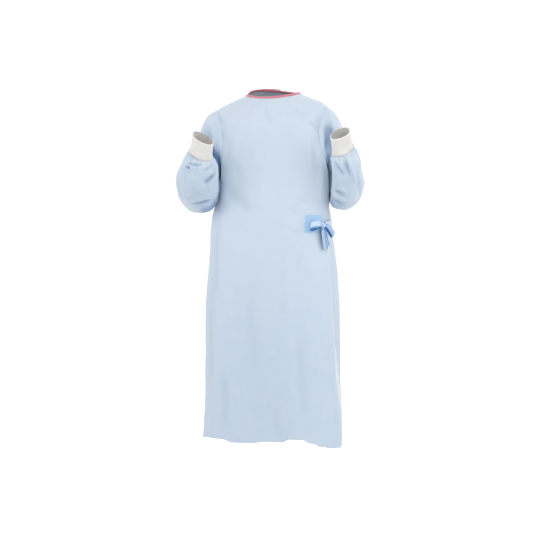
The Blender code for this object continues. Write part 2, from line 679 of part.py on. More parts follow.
def belt_back():
    """The belt tie from the outer panel's free edge round the left side to the knot."""
    row = row_at(BELT_Z)
    edge = wrap_row(row).outer_edge
    on_panel_height = outer_stand_off(edge - 360.0, row) + WALL + BELT_CLEAR_PANEL
    start = edge + BELT_OVERLAP
    stop = KNOT_ANGLE + BELT_KNOT_GAP[0]
    line = []
    widths = []
    for i in range(BELT_STEPS + 1):
        share = i / BELT_STEPS
        angle = start + (stop - start) * share
        lift = WALL / 2.0 + LAID_GAP + TIE_WALL / 2.0 + BELT_CLEAR
        lift += on_panel_height * smooth(angle, edge - BELT_CLIMB[0], edge - BELT_CLIMB[1])
        from_knot = angle - KNOT_ANGLE
        lift += BELT_RISE * (1.0 - smooth(from_knot, BELT_RISE_SPAN[0], BELT_RISE_SPAN[1]))
        z = BELT_Z + (KNOT_Z - BELT_Z) * share
        line.append(body_point(angle, row_at(z), lift))
        narrowing = (1.0 - BELT_KNOT_WIDTH) * smooth(share, BELT_NARROWS, 1.0)
        widths.append((0.0, 0.0, BELT_WIDTH / 2.0 * (1.0 - narrowing)))
    return ribbon("belt_back", line, widths, BLUE)


def belt_front():
    """The short belt tie sewn on the patch, running to the knot."""
    stop = KNOT_ANGLE - BELT_KNOT_GAP[1]
    line = []
    widths = []
    for i in range(FRONT_BELT_STEPS + 1):
        share = i / FRONT_BELT_STEPS
        angle = FRONT_BELT_ANGLE + (stop - FRONT_BELT_ANGLE) * share
        lift = WALL / 2.0 + PATCH_GAP + TIE_WALL + LAID_GAP + TIE_WALL / 2.0
        lift += FRONT_BELT_RISE * smooth(share, FRONT_BELT_RISES, 1.0)
        line.append(body_point(angle, row_at(KNOT_Z), lift))
        narrowing = (1.0 - FRONT_BELT_KNOT_WIDTH) * smooth(share, FRONT_BELT_NARROWS, 1.0)
        widths.append((0.0, 0.0, BELT_WIDTH / 2.0 * (1.0 - narrowing)))
    return ribbon("belt_front", line, widths, BLUE)


def bow_frame():
    """The knot's place with its directions along the belt, outward and up."""
    row = row_at(KNOT_Z)
    outward = body_normal(KNOT_ANGLE, row)
    outward = unit((outward[0], outward[1], 0.0))
    toward_front = (outward[1], -outward[0], 0.0)
    place = body_point(KNOT_ANGLE, row, KNOT_STAND_OFF)
    return place, toward_front, outward


def in_bow(front, out, up):
    """A point beside the knot: toward the front, outward and up, in millimetres."""
    place, toward_front, outward = BOW
    x, y, z = place
    x += (toward_front[0] * front + outward[0] * out) / 1000.0
    y += (toward_front[1] * front + outward[1] * out) / 1000.0
    return (x, y, z + up / 1000.0)


def bow_knot():
    """The knot, a soft cushion."""
    cushion = bmesh.new()
    bmesh.ops.create_uvsphere(cushion, u_segments=KNOT_SIDES, v_segments=KNOT_RINGS, radius=1.0)
    cushion.verts.index_update()
    points = []
    for vert in cushion.verts:
        across, ahead, up = (signed_power(part, KNOT_SOFTNESS) for part in vert.co)
        points.append(in_bow(KNOT_HALF[0] * ahead, -KNOT_HALF[1] * across, KNOT_HALF[2] * up))
    faces = [[vert.index for vert in face.verts] for face in cushion.faces]
    cushion.free()
    return add_object("bow_knot", points, faces, BLUE)


def bow_ribbon(name, stations):
    """A piece of the bow: stations of front, out, up, half width and lean in millimetres."""
    line = [in_bow(s[0], s[1], s[2]) for s in stations]
    widths = []
    for front, out, up, half, lean in stations:
        a = math.radians(lean)
        origin = in_bow(0.0, 0.0, 0.0)
        tip = in_bow(half * math.sin(a), 0.0, half * math.cos(a))
        widths.append(subtract(tip, origin))
    return ribbon(name, line, widths, BLUE)


# Stations of the bow: toward the front, outward, up, half width, lean.
LOOP_FRONT = [
    (9.9, 2.6, 0.5, 5.5, 0), (22, 6.0, 2.5, 9.5, -2), (38, 6.5, 3.0, 12, -5),
    (53, 3.0, 1.5, 12.5, -10), (62, -3.0, -3.0, 12, -16), (56, -7.0, -9.0, 11.5, -14),
    (40, -5.5, -9.5, 10.5, -10), (24, -3.4, -6.0, 8.0, -4), (9.9, -1.6, -2.5, 4.5, 0),
]
LOOP_BACK = [
    (-10.1, 2.4, 0.5, 5.0, -4), (-20, 6.0, -4.0, 8.5, -26), (-33, 8.5, -15, 10.5, -34),
    (-45, 8.0, -27, 11, -38), (-53, 4.5, -36, 10.5, -42), (-45, 2.0, -31, 10.5, -40),
    (-31, 1.2, -19, 9.5, -36), (-19, 0.8, -9.0, 7.0, -28), (-10.1, 0.2, -4.0, 4.0, -5),
]
END_FRONT = [
    (3.6, 2.6, -8.8, 5.0, 92), (3.0, 3.8, -26, 9.0, 95), (-2.0, 3.4, -46, 10.5, 99),
    (-8.0, 2.4, -66, 11, 102), (-14.0, 1.8, -84, 11.5, 104),
]
END_BACK = [
    (-3.4, -1.6, -8.8, 5.0, 96), (-11.0, -1.6, -26, 8.0, 104), (-17.0, -1.4, -43, 9.5, 108),
    (-23.0, -1.2, -60, 10.5, 110), (-28.0, -1.0, -74, 11.0, 112),
]


# ================================================================== the gown
clear_scene()
GOWN = bpy.data.collections.new("surgical_gown")
bpy.context.scene.collection.children.link(GOWN)
CLOTH = material("nonwoven_cloth", NONWOVEN)
RIB = material("rib_knit", KNIT)
TAPE = material("pink_tape", PINK_TAPE)
BLUE = material("blue_tie_cloth", BLUE_TIE)
HOOK = material("hook_tape", HOOK_TAPE)
BOW = bow_frame()

front_panel()
inner_back_panel()
outer_back_panel()
sleeve("sleeve_left", LEFT_SLEEVE, 1)
sleeve("sleeve_right", RIGHT_SLEEVE, -1)
cuff("cuff_left", LEFT_CUFF, 1)
cuff("cuff_right", RIGHT_CUFF, -1)
neck_binding()
neck_tab()
tie_patch()
belt_back()
belt_front()
bow_knot()
bow_ribbon("bow_loop_front", LOOP_FRONT)
bow_ribbon("bow_loop_back", LOOP_BACK)
bow_ribbon("bow_end_front", END_FRONT)
bow_ribbon("bow_end_back", END_BACK)
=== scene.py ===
"""Disposable surgical gown, worn, with the forearms folded up and forward.

Metres. +Z is up, the front of the gown faces -Y, and the wearer's left is +X.
"""

import math

import bpy
import numpy as np
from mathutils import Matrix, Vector


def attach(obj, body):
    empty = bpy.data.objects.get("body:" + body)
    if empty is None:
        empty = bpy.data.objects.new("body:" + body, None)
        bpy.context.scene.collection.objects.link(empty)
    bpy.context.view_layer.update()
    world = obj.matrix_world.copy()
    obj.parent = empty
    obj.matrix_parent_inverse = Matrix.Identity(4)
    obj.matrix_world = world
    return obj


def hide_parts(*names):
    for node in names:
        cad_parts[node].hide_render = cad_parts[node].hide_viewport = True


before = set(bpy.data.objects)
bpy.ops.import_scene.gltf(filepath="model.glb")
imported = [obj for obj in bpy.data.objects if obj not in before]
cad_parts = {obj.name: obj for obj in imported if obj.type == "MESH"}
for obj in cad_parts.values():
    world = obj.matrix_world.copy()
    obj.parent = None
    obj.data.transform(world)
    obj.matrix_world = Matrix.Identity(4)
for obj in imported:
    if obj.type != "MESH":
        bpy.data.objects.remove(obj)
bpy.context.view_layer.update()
scene = bpy.context.scene


# ================================================================== studio
# A white room, evenly lit from all sides, with a pale floor, two large soft lamps in front of
# the gown, one at each side and one high up behind it. The room and the floor look plain
# white to the camera, however strong their light is.
CAMERA_PLACE = (-0.0162, -6.0, -0.628)
CAMERA_ANGLE = 2.0 * math.atan(0.9594 / 6.0)    # half the height of the view, 6 m away
ROOM_LIGHT = 0.68
ROOM_SEEN = 1.05
FLOOR_Z = -1.56
FLOOR_HALF = 14.0
FLOOR_SEEN = 0.7
WHITE = (1.0, 1.0, 1.0, 1.0)
# name, place, the point it looks at, width, height and watts
SOFTBOXES = [
    ("key_softbox", (0.40, -2.7, 1.7), (0.0, 0.0, -0.30), 3.0, 1.2, 23.0),
    ("back_softbox", (0.9, 3.4, 2.5), (0.0, 0.0, -0.50), 1.6, 1.6, 45.0),
    ("left_softbox", (3.4, -0.9, 0.2), (0.2, 0.0, -0.95), 1.2, 2.2, 24.0),
    ("right_softbox", (-3.4, -0.9, 0.2), (-0.2, 0.0, -0.95), 1.2, 2.2, 20.0),
    ("front_softbox", (-0.2, -4.8, 0.6), (0.0, 0.0, -0.45), 3.6, 2.2, 27.5),
]


def add_object(name, data):
    made = bpy.data.objects.new(name, data)
    scene.collection.objects.link(made)
    return made


def add_node(tree, kind, inputs, **settings):
    """The outputs of a new node; each input is a number, a colour or a socket."""
    node = tree.nodes.new(kind)
    for label, value in settings.items():
        setattr(node, label, value)
    for label, value in inputs.items():
        if isinstance(value, bpy.types.NodeSocket):
            tree.links.new(value, node.inputs[label])
        else:
            node.inputs[label].default_value = value
    return node.outputs


def maths(tree, operation, *values):
    """One sum in a node tree; each value is a socket or a number."""
    return add_node(tree, "ShaderNodeMath", dict(enumerate(values)), operation=operation)[0]


def seen_by_camera(tree):
    return add_node(tree, "ShaderNodeLightPath", {})["Is Camera Ray"]


def light_room():
    world = bpy.data.worlds.new("white_room")
    world.use_nodes = True
    tree = world.node_tree
    light = tree.nodes["Background"].inputs
    light["Color"].default_value = WHITE
    strength = add_node(tree, "ShaderNodeMapRange", {
        "Value": seen_by_camera(tree), "To Min": ROOM_LIGHT, "To Max": ROOM_SEEN})
    tree.links.new(strength["Result"], light["Strength"])
    scene.world = world
    for name, place, aim, width, height, watts in SOFTBOXES:
        lamp = bpy.data.lights.new(name, "AREA")
        lamp.shape = "RECTANGLE"
        lamp.size = width
        lamp.size_y = height
        lamp.energy = watts
        holder = add_object(name, lamp)
        holder.location = place
        direction = Vector(aim) - Vector(place)
        holder.rotation_euler = direction.to_track_quat("-Z", "Y").to_euler()


def make_floor():
    corners = [(x * FLOOR_HALF, y * FLOOR_HALF, FLOOR_Z)
               for x, y in ((-1, -1), (1, -1), (1, 1), (-1, 1))]
    mesh = bpy.data.meshes.new("studio_floor")
    mesh.from_pydata(corners, [], [(0, 1, 2, 3)])
    paint = bpy.data.materials.new("pale_floor")
    paint.use_nodes = True
    tree = paint.node_tree
    shader = tree.nodes["Principled BSDF"].inputs
    shader["Base Color"].default_value = (0.85, 0.855, 0.86, 1.0)
    shader["Roughness"].default_value = 0.9
    shader["Emission Color"].default_value = WHITE
    glow = maths(tree, "MULTIPLY", seen_by_camera(tree), FLOOR_SEEN)
    tree.links.new(glow, shader["Emission Strength"])
    mesh.materials.append(paint)
    add_object("studio_floor", mesh)


camera_data = bpy.data.cameras.new("camera")
camera_data.sensor_width = 36.0
camera_data.angle = CAMERA_ANGLE
camera = add_object("camera", camera_data)
camera.location = CAMERA_PLACE
camera.rotation_euler = (math.radians(90.0), 0.0, 0.0)
scene.camera = camera
scene.view_settings.view_transform = "Standard"
scene.view_settings.look = "None"
light_room()
make_floor()


# ================================================================== front panel
# The whole front in one piece of pale blue non-woven cloth, cut out for the
# neck and the armholes, and joined to the back panels along the shoulders and
# sides. It is a thin soft felt, bonded all over with a grid of tiny points.
#
# Its form runs over rings down the body. Angles round the body run 0 at the
# front, +90 at the wearer's left side, 180 at the back and -90 at the right.
CLOTH_WALL = 0.0008
# right x, right z, left x, left z, front y, front z, back y and back z in millimetres, and
# how square the ring is
BODY = np.array([
    (-83, -9, 101, -2, -80, -24, 62, 12, 2.0),
    (-94, -17, 115, -10.6, -94, -44, 78, -4, 2.1),
    (-119, -27.5, 144, -21.4, -110, -70, 96, -28, 2.2),
    (-152, -44.5, 172, -34, -125, -98, 112, -55, 2.3),
    (-185, -63, 192, -48, -138, -126, 124, -85, 2.4),
    (-186, -104, 188, -90, -146, -158, 132, -125, 2.5),
    (-184, -150, 187, -145, -151, -193, 138, -168, 2.5),
    (-181, -200, 190, -198, -154, -226, 142, -208, 2.5),
    (-180, -240, 196, -238, -156, -256, 144, -244, 2.5),
    (-181, -272, 201, -266, -157, -282, 146, -274, 2.5),
    (-181, -320, 207, -320, -158, -325, 147, -322, 2.5),
    (-187, -380, 209, -380, -159, -382, 148, -380, 2.5),
    (-203, -440, 209.5, -440, -160, -440, 148, -440, 2.5),
    (-209, -485, 208, -485, -161, -485, 148, -485, 2.5),
    (-216, -550, 208.5, -550, -163, -550, 150, -550, 2.5),
    (-221, -650, 214.5, -650, -166, -650, 154, -650, 2.5),
    (-227, -770, 220.5, -770, -168, -770, 158, -770, 2.5),
    (-227, -900, 227, -900, -170, -900, 162, -900, 2.5),
    (-229, -1020, 232.5, -1020, -172, -1020, 166, -1020, 2.5),
    (-232, -1090, 240.5, -1090, -173, -1090, 169, -1090, 2.5),
    (-237.5, -1160, 247.5, -1160, -175, -1160, 172, -1160, 2.5),
    (-244, -1243, 247.5, -1243, -177, -1243, 176, -1243, 2.5),
])
BODY[:, :8] /= 1000.0
TIP_ROW = 4
UNDERARM_ROW = 9
WAIST_ROW = 13
HEM_RISE_ROW = 18
HEM_ROW = 21
LEVEL_POWER = 1.5
NECK_SKEW = 0.003
SIDE_SEAM = 90.0
ARMHOLE_FRONT = 22.0
ARMHOLE_BACK = 34.0
SEAM_GAP = 0.0001
SEAM_RADIUS = 0.2           # of the body at its sides
FRONT_CUT = (0.73, 1.32)     # flat width at the hem and length from the shoulder
FRONT_CUT_AREA = 0.757
FRONT_WIDTH = 0.62           # across the worn panel, and how many columns it gets
FRONT_COLUMNS = 132
SHOULDER_ROWS = 26
ARMHOLE_ROWS = 53
SKIRT_ROWS = 171
CREASE_STRENGTH = 1.3
CREASE_SHADE = 0.3           # how much painted shade lies in a crease
SKIRT_SHADE = 0.12           # and painted shade growing towards the hem

HEM_ANGLES = np.array([
    -180, -150, -120, -90, -64, -41, -30, -12, -2, 5, 10, 19, 30, 41, 56, 90,
    110, 130, 155, 180])
HEM_HEIGHTS = np.array([
    4, -4, 4, 1, 10, 8, -3, -3, 2, 0, 10, 8, -7, -20, -28, -27, -20, -8, -1,
    4]) / 1000.0

# Lengthwise folds: angle at the top, angle at the hem, where it starts, where it is full,
# half width in degrees and height.
LENGTH_FOLDS = [
    (-9, 13, -0.48, -1.20, 13, 0.009),
    (-34, -26, -0.56, -1.20, 12, -0.006),
    (-60, -56, -0.60, -1.20, 10, 0.007),
    (40, 43, -0.64, -1.20, 12, -0.006),
    (66, 68, -0.45, -0.62, 7, 0.011),
    (79, 79, -0.46, -0.66, 6, -0.005),
    (69, 70, -1.02, -1.18, 9, 0.006),
    (-118, -114, -0.55, -1.20, 11, 0.012),
    (-140, -139, -0.60, -1.20, 10, -0.010),
    (-164, -166, -0.52, -1.20, 12, 0.014),
    (170, 167, -0.60, -1.20, 10, -0.011),
    (146, 144, -0.55, -1.20, 12, 0.013),
    (124, 122, -0.70, -1.20, 9, -0.008),
]

# Creases listed by the side they are seen from. Each is a line through three points,
# its half width and its height, all in millimetres, then how crisp it is and how far it leans
# to one side. A point is (across, up), where across is x from the front or back and y from a
# side.
CREASE_STEPS = np.linspace(0.0, 2.0, 7)
BODY_CREASES = {
    "front": [
        # from the neck down the chest
        (-30, -50, -12, -85, 8, -135, 10, -3, 0.5, 0.5),
        (-55, -48, -70, -110, -66, -190, 16, 2.5, 0.3, 0),
        (62, -40, 94, -75, 128, -105, 14, -3, 0.4, 0.4),
        (20, -50, 36, -110, 40, -200, 20, 2.2, 0.2, 0),
        # hollows in front of the armholes
        (-180, -150, -166, -176, -156, -188, 9, -2.5, 0.3, 0.3),
        (-176, -170, -180, -230, -184, -285, 18, 5.5, 0.1, 0),
        (-172, -280, -172, -340, -182, -410, 18, 5.5, 0, 0),
        (192, -230, 195, -300, 197, -410, 18, 6, 0, 0),
        (-140, -120, -128, -200, -146, -290, 20, 4, 0.2, 0),
        (170, -80, 176, -140, 190, -215, 14, -5, 0.3, 0.4),
        (120, -118, 148, -128, 172, -150, 10, -4, 0.5, 0.5),
        (142, -150, 156, -200, 160, -280, 12, -3.5, 0.3, 0),
        (176, -210, 177, -290, 172, -400, 10, 4, 0.3, 0),
        # across the belly
        (-172, -330, -120, -380, -40, -450, 30, -5, 0.1, 0.3),
        (-150, -250, -120, -300, -104, -380, 22, -2.8, 0.2, 0),
        (50, -250, 74, -330, 70, -420, 24, 3, 0.2, 0),
        (-20, -240, -34, -340, -28, -470, 26, 3, 0.1, 0),
        # pulled towards the tie patch
        (60, -385, 98, -392, 134, -412, 8, -2.6, 0.5, 0.4),
        (78, -404, 106, -418, 140, -436, 7, 2.4, 0.4, 0),
        (50, -434, 86, -440, 118, -452, 9, -2.2, 0.4, 0.3),
        (60, -500, 90, -512, 116, -506, 9, -2, 0.4, 0.3),
        (120, -530, 100, -590, 92, -680, 15, -2.6, 0.2, 0.2),
        # down the skirt
        (-180, -430, -194, -560, -192, -780, 16, -4.5, 0.2, 0.3),
        (-120, -520, -130, -720, -122, -980, 24, 4, 0.1, 0),
        (-70, -620, -64, -860, -44, -1120, 22, -3.2, 0.2, 0.3),
        (44, -560, 62, -780, 58, -1010, 20, 3, 0.1, 0),
        (90, -820, 104, -1010, 118, -1230, 22, -4, 0.2, 0.2),
        (160, -900, 172, -1060, 176, -1240, 15, 3.5, 0.2, 0),
        (-168, -960, -158, -1100, -160, -1240, 18, -4, 0.2, 0.3),
        (12, -1080, 24, -1170, 30, -1262, 10, -3, 0.4, 0.5),
    ],
    "right": [
        # wearer's right side
        (-60, -300, -30, -420, -46, -600, 20, 5, 0.2, 0),
        (50, -310, 70, -450, 52, -680, 22, -5, 0.2, 0.3),
        (-90, -640, -76, -860, -90, -1140, 20, -4.5, 0.2, 0),
        (0, -560, 14, -840, -6, -1200, 24, 6, 0.1, 0),
        (94, -520, 100, -800, 112, -1180, 20, 4.5, 0.2, 0),
    ],
    "back": [
        # across the shoulder blades and down the back
        (-120, -70, -60, -120, 10, -150, 18, -4.5, 0.3, 0.4),
        (140, -80, 96, -150, 80, -250, 18, -4.5, 0.3, -0.4),
        (-150, -130, -128, -220, -120, -360, 18, 5, 0.2, 0),
        (-70, -180, -52, -300, -60, -440, 22, -5, 0.2, 0.3),
        (20, -200, 30, -330, 16, -460, 22, 4.5, 0.2, 0),
        (130, -300, 60, -390, -40, -440, 20, -4.5, 0.3, 0.4),
        (150, -400, 80, -455, -80, -480, 16, -6, 0.3, 0.5),
        (140, -520, 60, -540, -60, -520, 18, 4, 0.2, 0),
        (-160, -460, -120, -520, -110, -660, 18, -5, 0.3, 0.3),
        (-20, -540, -34, -760, -20, -1080, 24, -5.5, 0.2, 0),
        (80, -560, 94, -800, 86, -1150, 22, 5.5, 0.2, 0),
        (-150, -760, -160, -980, -150, -1230, 20, 5, 0.2, 0),
    ],
    "left": [
        # the wrap drawn to the wearer's left side
        (90, -280, 60, -370, -20, -440, 14, -5, 0.4, 0.5),
        (110, -380, 60, -440, -30, -468, 10, 4, 0.3, 0),
        (110, -560, 60, -530, -20, -500, 13, -4.5, 0.3, 0.4),
        (60, -600, 50, -800, 62, -1060, 20, 5, 0.2, 0),
        (20, -700, 6, -900, 20, -1180, 18, -5, 0.2, 0.3),
        (110, -700, 104, -930, 112, -1200, 18, -4.5, 0.2, 0),
    ],
}
SIDE_DIRECTIONS = {
    "front": (0.0, -1.0, 0.0), "back": (0.0, 1.0, 0.0),
    "left": (1.0, 0.0, 0.0), "right": (-1.0, 0.0, 0.0)}


def smooth(value, low, high):
    """Ease from 0 at low to 1 at high."""
    t = np.clip((value - low) / (high - low), 0.0, 1.0)
    return t * t * (3.0 - 2.0 * t)


def through(table, position):
    """A smooth curve through the rows of a table, at fractional rows."""
    last = len(table) - 1
    position = np.clip(np.asarray(position, float), 0.0, last)
    i = np.minimum(position.astype(int), last - 1)
    t = position - i
    t = t.reshape(t.shape + (1,) * (table.ndim - 1))
    before = table[np.maximum(i - 1, 0)]
    start = table[i]
    end = table[i + 1]
    after = table[np.minimum(i + 2, last)]
    eased = t * t * (3.0 - 2.0 * t)
    leaving = (end - before) / 2.0 * t * (1.0 - t) ** 2
    arriving = (after - start) / 2.0 * t * t * (1.0 - t)
    return start + (end - start) * eased + leaving - arriving


def power(value, exponent):
    return np.sign(value) * np.abs(value) ** exponent


def unit(vectors):
    return vectors / np.maximum(np.linalg.norm(vectors, axis=-1, keepdims=True), 1e-12)


def hem_rise(angle):
    angle = (angle + 180.0) % 360.0 - 180.0
    i = np.clip(np.searchsorted(HEM_ANGLES, angle) - 1, 0, len(HEM_ANGLES) - 2)
    share = smooth(angle, HEM_ANGLES[i], HEM_ANGLES[i + 1])
    return HEM_HEIGHTS[i] + (HEM_HEIGHTS[i + 1] - HEM_HEIGHTS[i]) * share


def plain_body(angle, row):
    """Points of the body without folds."""
    angle, row = np.broadcast_arrays(np.asarray(angle, float), np.asarray(row, float))
    (right_x, right_z, left_x, left_z, front_y, front_z, back_y, back_z,
     squareness) = np.moveaxis(through(BODY, row), -1, 0)
    a = np.radians(angle)
    side = np.sin(a)
    facing = np.cos(a)
    x = (right_x + left_x) / 2.0 + (left_x - right_x) / 2.0 * power(side, 2.0 / squareness)
    y = np.where(facing >= 0, front_y, back_y) * np.abs(facing) ** (2.0 / squareness)
    share = np.abs(facing) ** LEVEL_POWER
    z = np.where(side >= 0, left_z, right_z) * (1.0 - share)
    z = z + np.where(facing >= 0, front_z, back_z) * share
    z = z + NECK_SKEW * (1.0 - smooth(row, 0.0, 1.5)) * np.sin(2.0 * a)
    z = z + smooth(row, HEM_RISE_ROW, HEM_ROW) * hem_rise(angle)
    return np.stack([x, y, z], -1)


def body_normal(angle, row):
    """Outward directions of the plain body."""
    low = np.maximum(row - 0.05, 0.0)
    high = np.minimum(row + 0.05, float(HEM_ROW))
    around = plain_body(angle + 0.5, row) - plain_body(angle - 0.5, row)
    down = plain_body(angle, high) - plain_body(angle, low)
    return unit(np.cross(down, around))


def length_folds(angle, z):
    """How far the lengthwise folds push the cloth outward."""
    total = np.zeros_like(z)
    hem_z = BODY[HEM_ROW, 5]
    for top_angle, hem_angle, top_z, full_z, half_width, height in LENGTH_FOLDS:
        share = (top_z - z) / (top_z - hem_z)
        centre = top_angle + (hem_angle - top_angle) * share
        off = (angle - centre + 180.0) % 360.0 - 180.0
        grown = height * smooth(-z, -top_z, -full_z)
        total += np.where(z > top_z, 0.0, grown * np.exp(-(off / half_width) ** 2))
    return total


def crease_height(points, normals, creases):
    """How far the listed creases push the cloth outward."""
    total = np.zeros(points.shape[:-1])
    up = points[..., 2]
    for side, table in creases.items():
        seen = smooth(normals @ np.array(SIDE_DIRECTIONS[side]), 0.02, 0.45)
        across = points[..., 0] if side in ("front", "back") else points[..., 1]
        for *line, half_width, height, crisp, lean in table:
            line = through(np.reshape(line, (3, 2)) / 1000.0, CREASE_STEPS)
            lengths = np.linalg.norm(np.diff(line, axis=0), axis=1)
            run = np.concatenate([[0.0], np.cumsum(lengths)])
            nearest = np.full(across.shape, 1e9)
            place = np.zeros(across.shape)
            which_side = np.zeros(across.shape)
            for i, length in enumerate(lengths):
                dx, dz = (line[i + 1] - line[i]) / length
                off_x = across - line[i, 0]
                off_z = up - line[i, 1]
                t = np.clip(off_x * dx + off_z * dz, 0.0, length)
                off_x = off_x - dx * t
                off_z = off_z - dz * t
                distance = np.hypot(off_x, off_z)
                closer = distance < nearest
                nearest = np.where(closer, distance, nearest)
                place = np.where(closer, run[i] + t, place)
                which_side = np.where(closer, off_x * dz - off_z * dx, which_side)
            share = place / run[-1]
            taper = 0.12 + 0.88 * smooth(share, 0.0, 0.35) * smooth(1.0 - share, 0.0, 0.35)
            width = half_width / 1000.0 * (0.75 + 0.5 * share)
            q = nearest / width
            soft = np.exp(-q * q)
            sharp = np.exp(-(np.sqrt(q * q + 0.01) - 0.1) * 1.8) * np.exp(-q * q * 0.25)
            shape = soft + (sharp - soft) * crisp + lean * which_side / width * soft * 1.3
            total += height / 1000.0 * shape * taper * seen
    return total


def ripple(points, wavelength, seed, waves=14):
    """A smooth uneven field from -1 to 1, the same at every run."""
    chance = np.random.default_rng(seed)
    total = np.zeros(points.shape[:-1])
    for _ in range(waves):
        direction = unit(chance.normal(size=3))
        stretch = chance.uniform(0.7, 1.5)
        turn = chance.uniform(0.0, 2.0 * math.pi)
        total += np.sin(points @ direction * (2.0 * math.pi * stretch / wavelength) + turn)
    return np.clip(total / math.sqrt(waves), -2.0, 2.0) / 1.4


def crumple(points, seed):
    """The faint waves and small sharp creases that soft non-woven cloth keeps."""
    wide = ripple(points * (1.0, 1.0, 0.45), 0.14, seed)
    ridged = 1.0 - np.abs(ripple(points * (1.0, 1.0, 0.7), 0.10, seed + 1)) * 2.2
    patches = smooth(ripple(points, 0.30, seed + 2), -0.2, 0.8)
    fine = ripple(points, 0.035, seed + 3)
    return wide * 0.0011 + np.maximum(ridged, 0.0) ** 3 * 0.0009 * patches + fine * 0.00018


def body_surface(angle, row, stand_off=0.0):
    """The body's cloth with all its folds, moved outward by stand_off."""
    base = plain_body(angle, row)
    normal = body_normal(angle, row)
    height = length_folds(angle, base[..., 2])
    held = 0.35 + 0.65 * smooth(row, 0.6, 3.0)
    creased = CREASE_STRENGTH * crease_height(base, normal, BODY_CREASES)
    loose = held * (creased + crumple(base, 11))
    return base + normal * (height + loose * smooth(row, 0.3, 1.2) + stand_off)[..., None]


def body_shade(angle, row):
    """Painted shade on the body's cloth: in its creases and growing towards the hem."""
    base = plain_body(angle, row)
    sunk = -crease_height(base, body_normal(angle, row), BODY_CREASES)
    return CREASE_SHADE * smooth(sunk, 0.0, 0.012) + SKIRT_SHADE * smooth(-base[..., 2], 0.35, 1.05)


def panel_rows():
    """Rows of every body panel, and how deep the armhole cuts in at each."""
    share = np.linspace(0.0, 1.0, ARMHOLE_ROWS)
    turns = (math.pi * share + np.arccos(1.0 - 2.0 * share)) / 2.0
    levels = np.linspace(BODY[UNDERARM_ROW, 5], BODY[HEM_ROW, 5], SKIRT_ROWS + 1)[1:]
    rows = np.concatenate([
        np.linspace(0.0, TIP_ROW, SHOULDER_ROWS + 1)[:-1],
        TIP_ROW + (UNDERARM_ROW - TIP_ROW) * (1.0 - np.cos(turns)) / 2.0,
        np.interp(-levels, -BODY[:, 5], np.arange(len(BODY)))])
    cuts = np.concatenate([np.zeros(SHOULDER_ROWS), np.sin(turns), np.zeros(SKIRT_ROWS)])
    return rows[:, None], cuts[:, None]


def edge_columns(count, width):
    """Shares across a piece, with extra columns close to both edges."""
    near = np.array([0.0, 0.0006, 0.0014, 0.0025, 0.004, 0.006, 0.009]) / width
    middle = np.linspace(near[-1], 1.0 - near[-1], count)
    return np.concatenate([near[:-1], middle, 1.0 - near[:-1][::-1]])


def grid_lengths(grid):
    """Distances run across and down a grid of points."""
    across = np.linalg.norm(np.diff(grid, axis=1), axis=-1)
    down = np.linalg.norm(np.diff(grid, axis=0), axis=-1)
    across = np.pad(np.cumsum(across, axis=1), ((0, 0), (1, 0)))
    down = np.pad(np.cumsum(down, axis=0), ((1, 0), (0, 0)))
    return across, down


def grid_normals(grid, closed=False):
    """Outward directions of a grid whose rows run down and columns run round."""
    if closed:
        across = np.roll(grid, -1, axis=1) - np.roll(grid, 1, axis=1)
    else:
        across = np.gradient(grid, axis=1)
    return unit(np.cross(np.gradient(grid, axis=0), across))


def seam_roll(distance):
    """A seam edge turned under, with the cloth a little full beside it."""
    under = -0.0004 * np.exp(-(distance / 0.0012) ** 2)
    full = 0.0002 * np.exp(-((distance - 0.0075) / 0.0040) ** 2)
    return under + full


def point_layer(piece, label, values, kind="FLOAT", field="value"):
    """Numbers or vectors at a mesh's points, for its material or its tree."""
    layer = piece.data.attributes.new(label, kind, "POINT")
    layer.data.foreach_set(field, np.asarray(values, np.float32).ravel())


def add_mesh(name, points, faces, uv=None):
    """A smooth-shaded mesh object of the gown, with an optional map in metres."""
    mesh = bpy.data.meshes.new(name)
    mesh.from_pydata(points.reshape(-1, 3).tolist(), [], faces)
    mesh.update()
    mesh.polygons.foreach_set("use_smooth", np.ones(len(mesh.polygons), bool))
    if uv is not None:
        layer = mesh.uv_layers.new(name="cloth")
        layer.data.foreach_set("uv", uv.astype(np.float32).ravel())
    return add_object(name, mesh)


def add_wall(sheet, wall):
    """Thickness on both sides of a sheet."""
    thickness = sheet.modifiers.new("wall", "SOLIDIFY")
    thickness.thickness = wall
    thickness.offset = 0.0
    return thickness


def cloth_sheet(name, grid, closed=False, **layers):
    """A sheet through a grid of points, without its wall.

    The layers run from 0 to 1 at each point: shade is how much painted shade lies at the point,
    and the pale edge layer is how much painted highlight lies along a free edge there.
    """
    rows, columns = grid.shape[:2]
    r, c = np.meshgrid(np.arange(rows - 1), np.arange(columns if closed else columns - 1),
                       indexing="ij")
    nxt = (c + 1) % columns
    corners = [(r, c), (r + 1, c), (r + 1, nxt), (r, nxt)]
    faces = np.stack([a * columns + b for a, b in corners], -1).reshape(-1, 4)
    ring = np.concatenate([grid, grid[:, :1]], axis=1) if closed else grid
    across, down = grid_lengths(ring)
    uv_corners = [(r, c), (r + 1, c), (r + 1, c + 1), (r, c + 1)]
    uv = np.stack([np.stack([across[a, b], -down[a, b]], -1) for a, b in uv_corners], 2)
    made = add_mesh(name, grid, faces.tolist(), uv.reshape(-1, 2))
    for label, values in layers.items():
        point_layer(made, label, np.clip(values, 0.0, 1.0))
    return made


def add_piece(piece, slot, paint, *nodes):
    """Dresses a piece, hangs it on the root body and hides the solids it stands for."""
    piece.data.materials.append(paint)
    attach(piece, "root")
    if nodes:
        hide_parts(*nodes)


# The look of bonded non-woven cloth: a felt of fine fibres, uneven in depth, pressed with rows
# of tiny points. Painted shade deepens its colour where its layers hide the light from each other.
# The pale colour of the painted highlight along the outer panel's free edge.
EDGE_HIGHLIGHT_COLOUR = (0.735, 0.785, 0.820, 1.0)
SURFACE_OUTPUTS = [("Colour", "Color"), ("Height", "Float"), ("Roughness", "Float")]


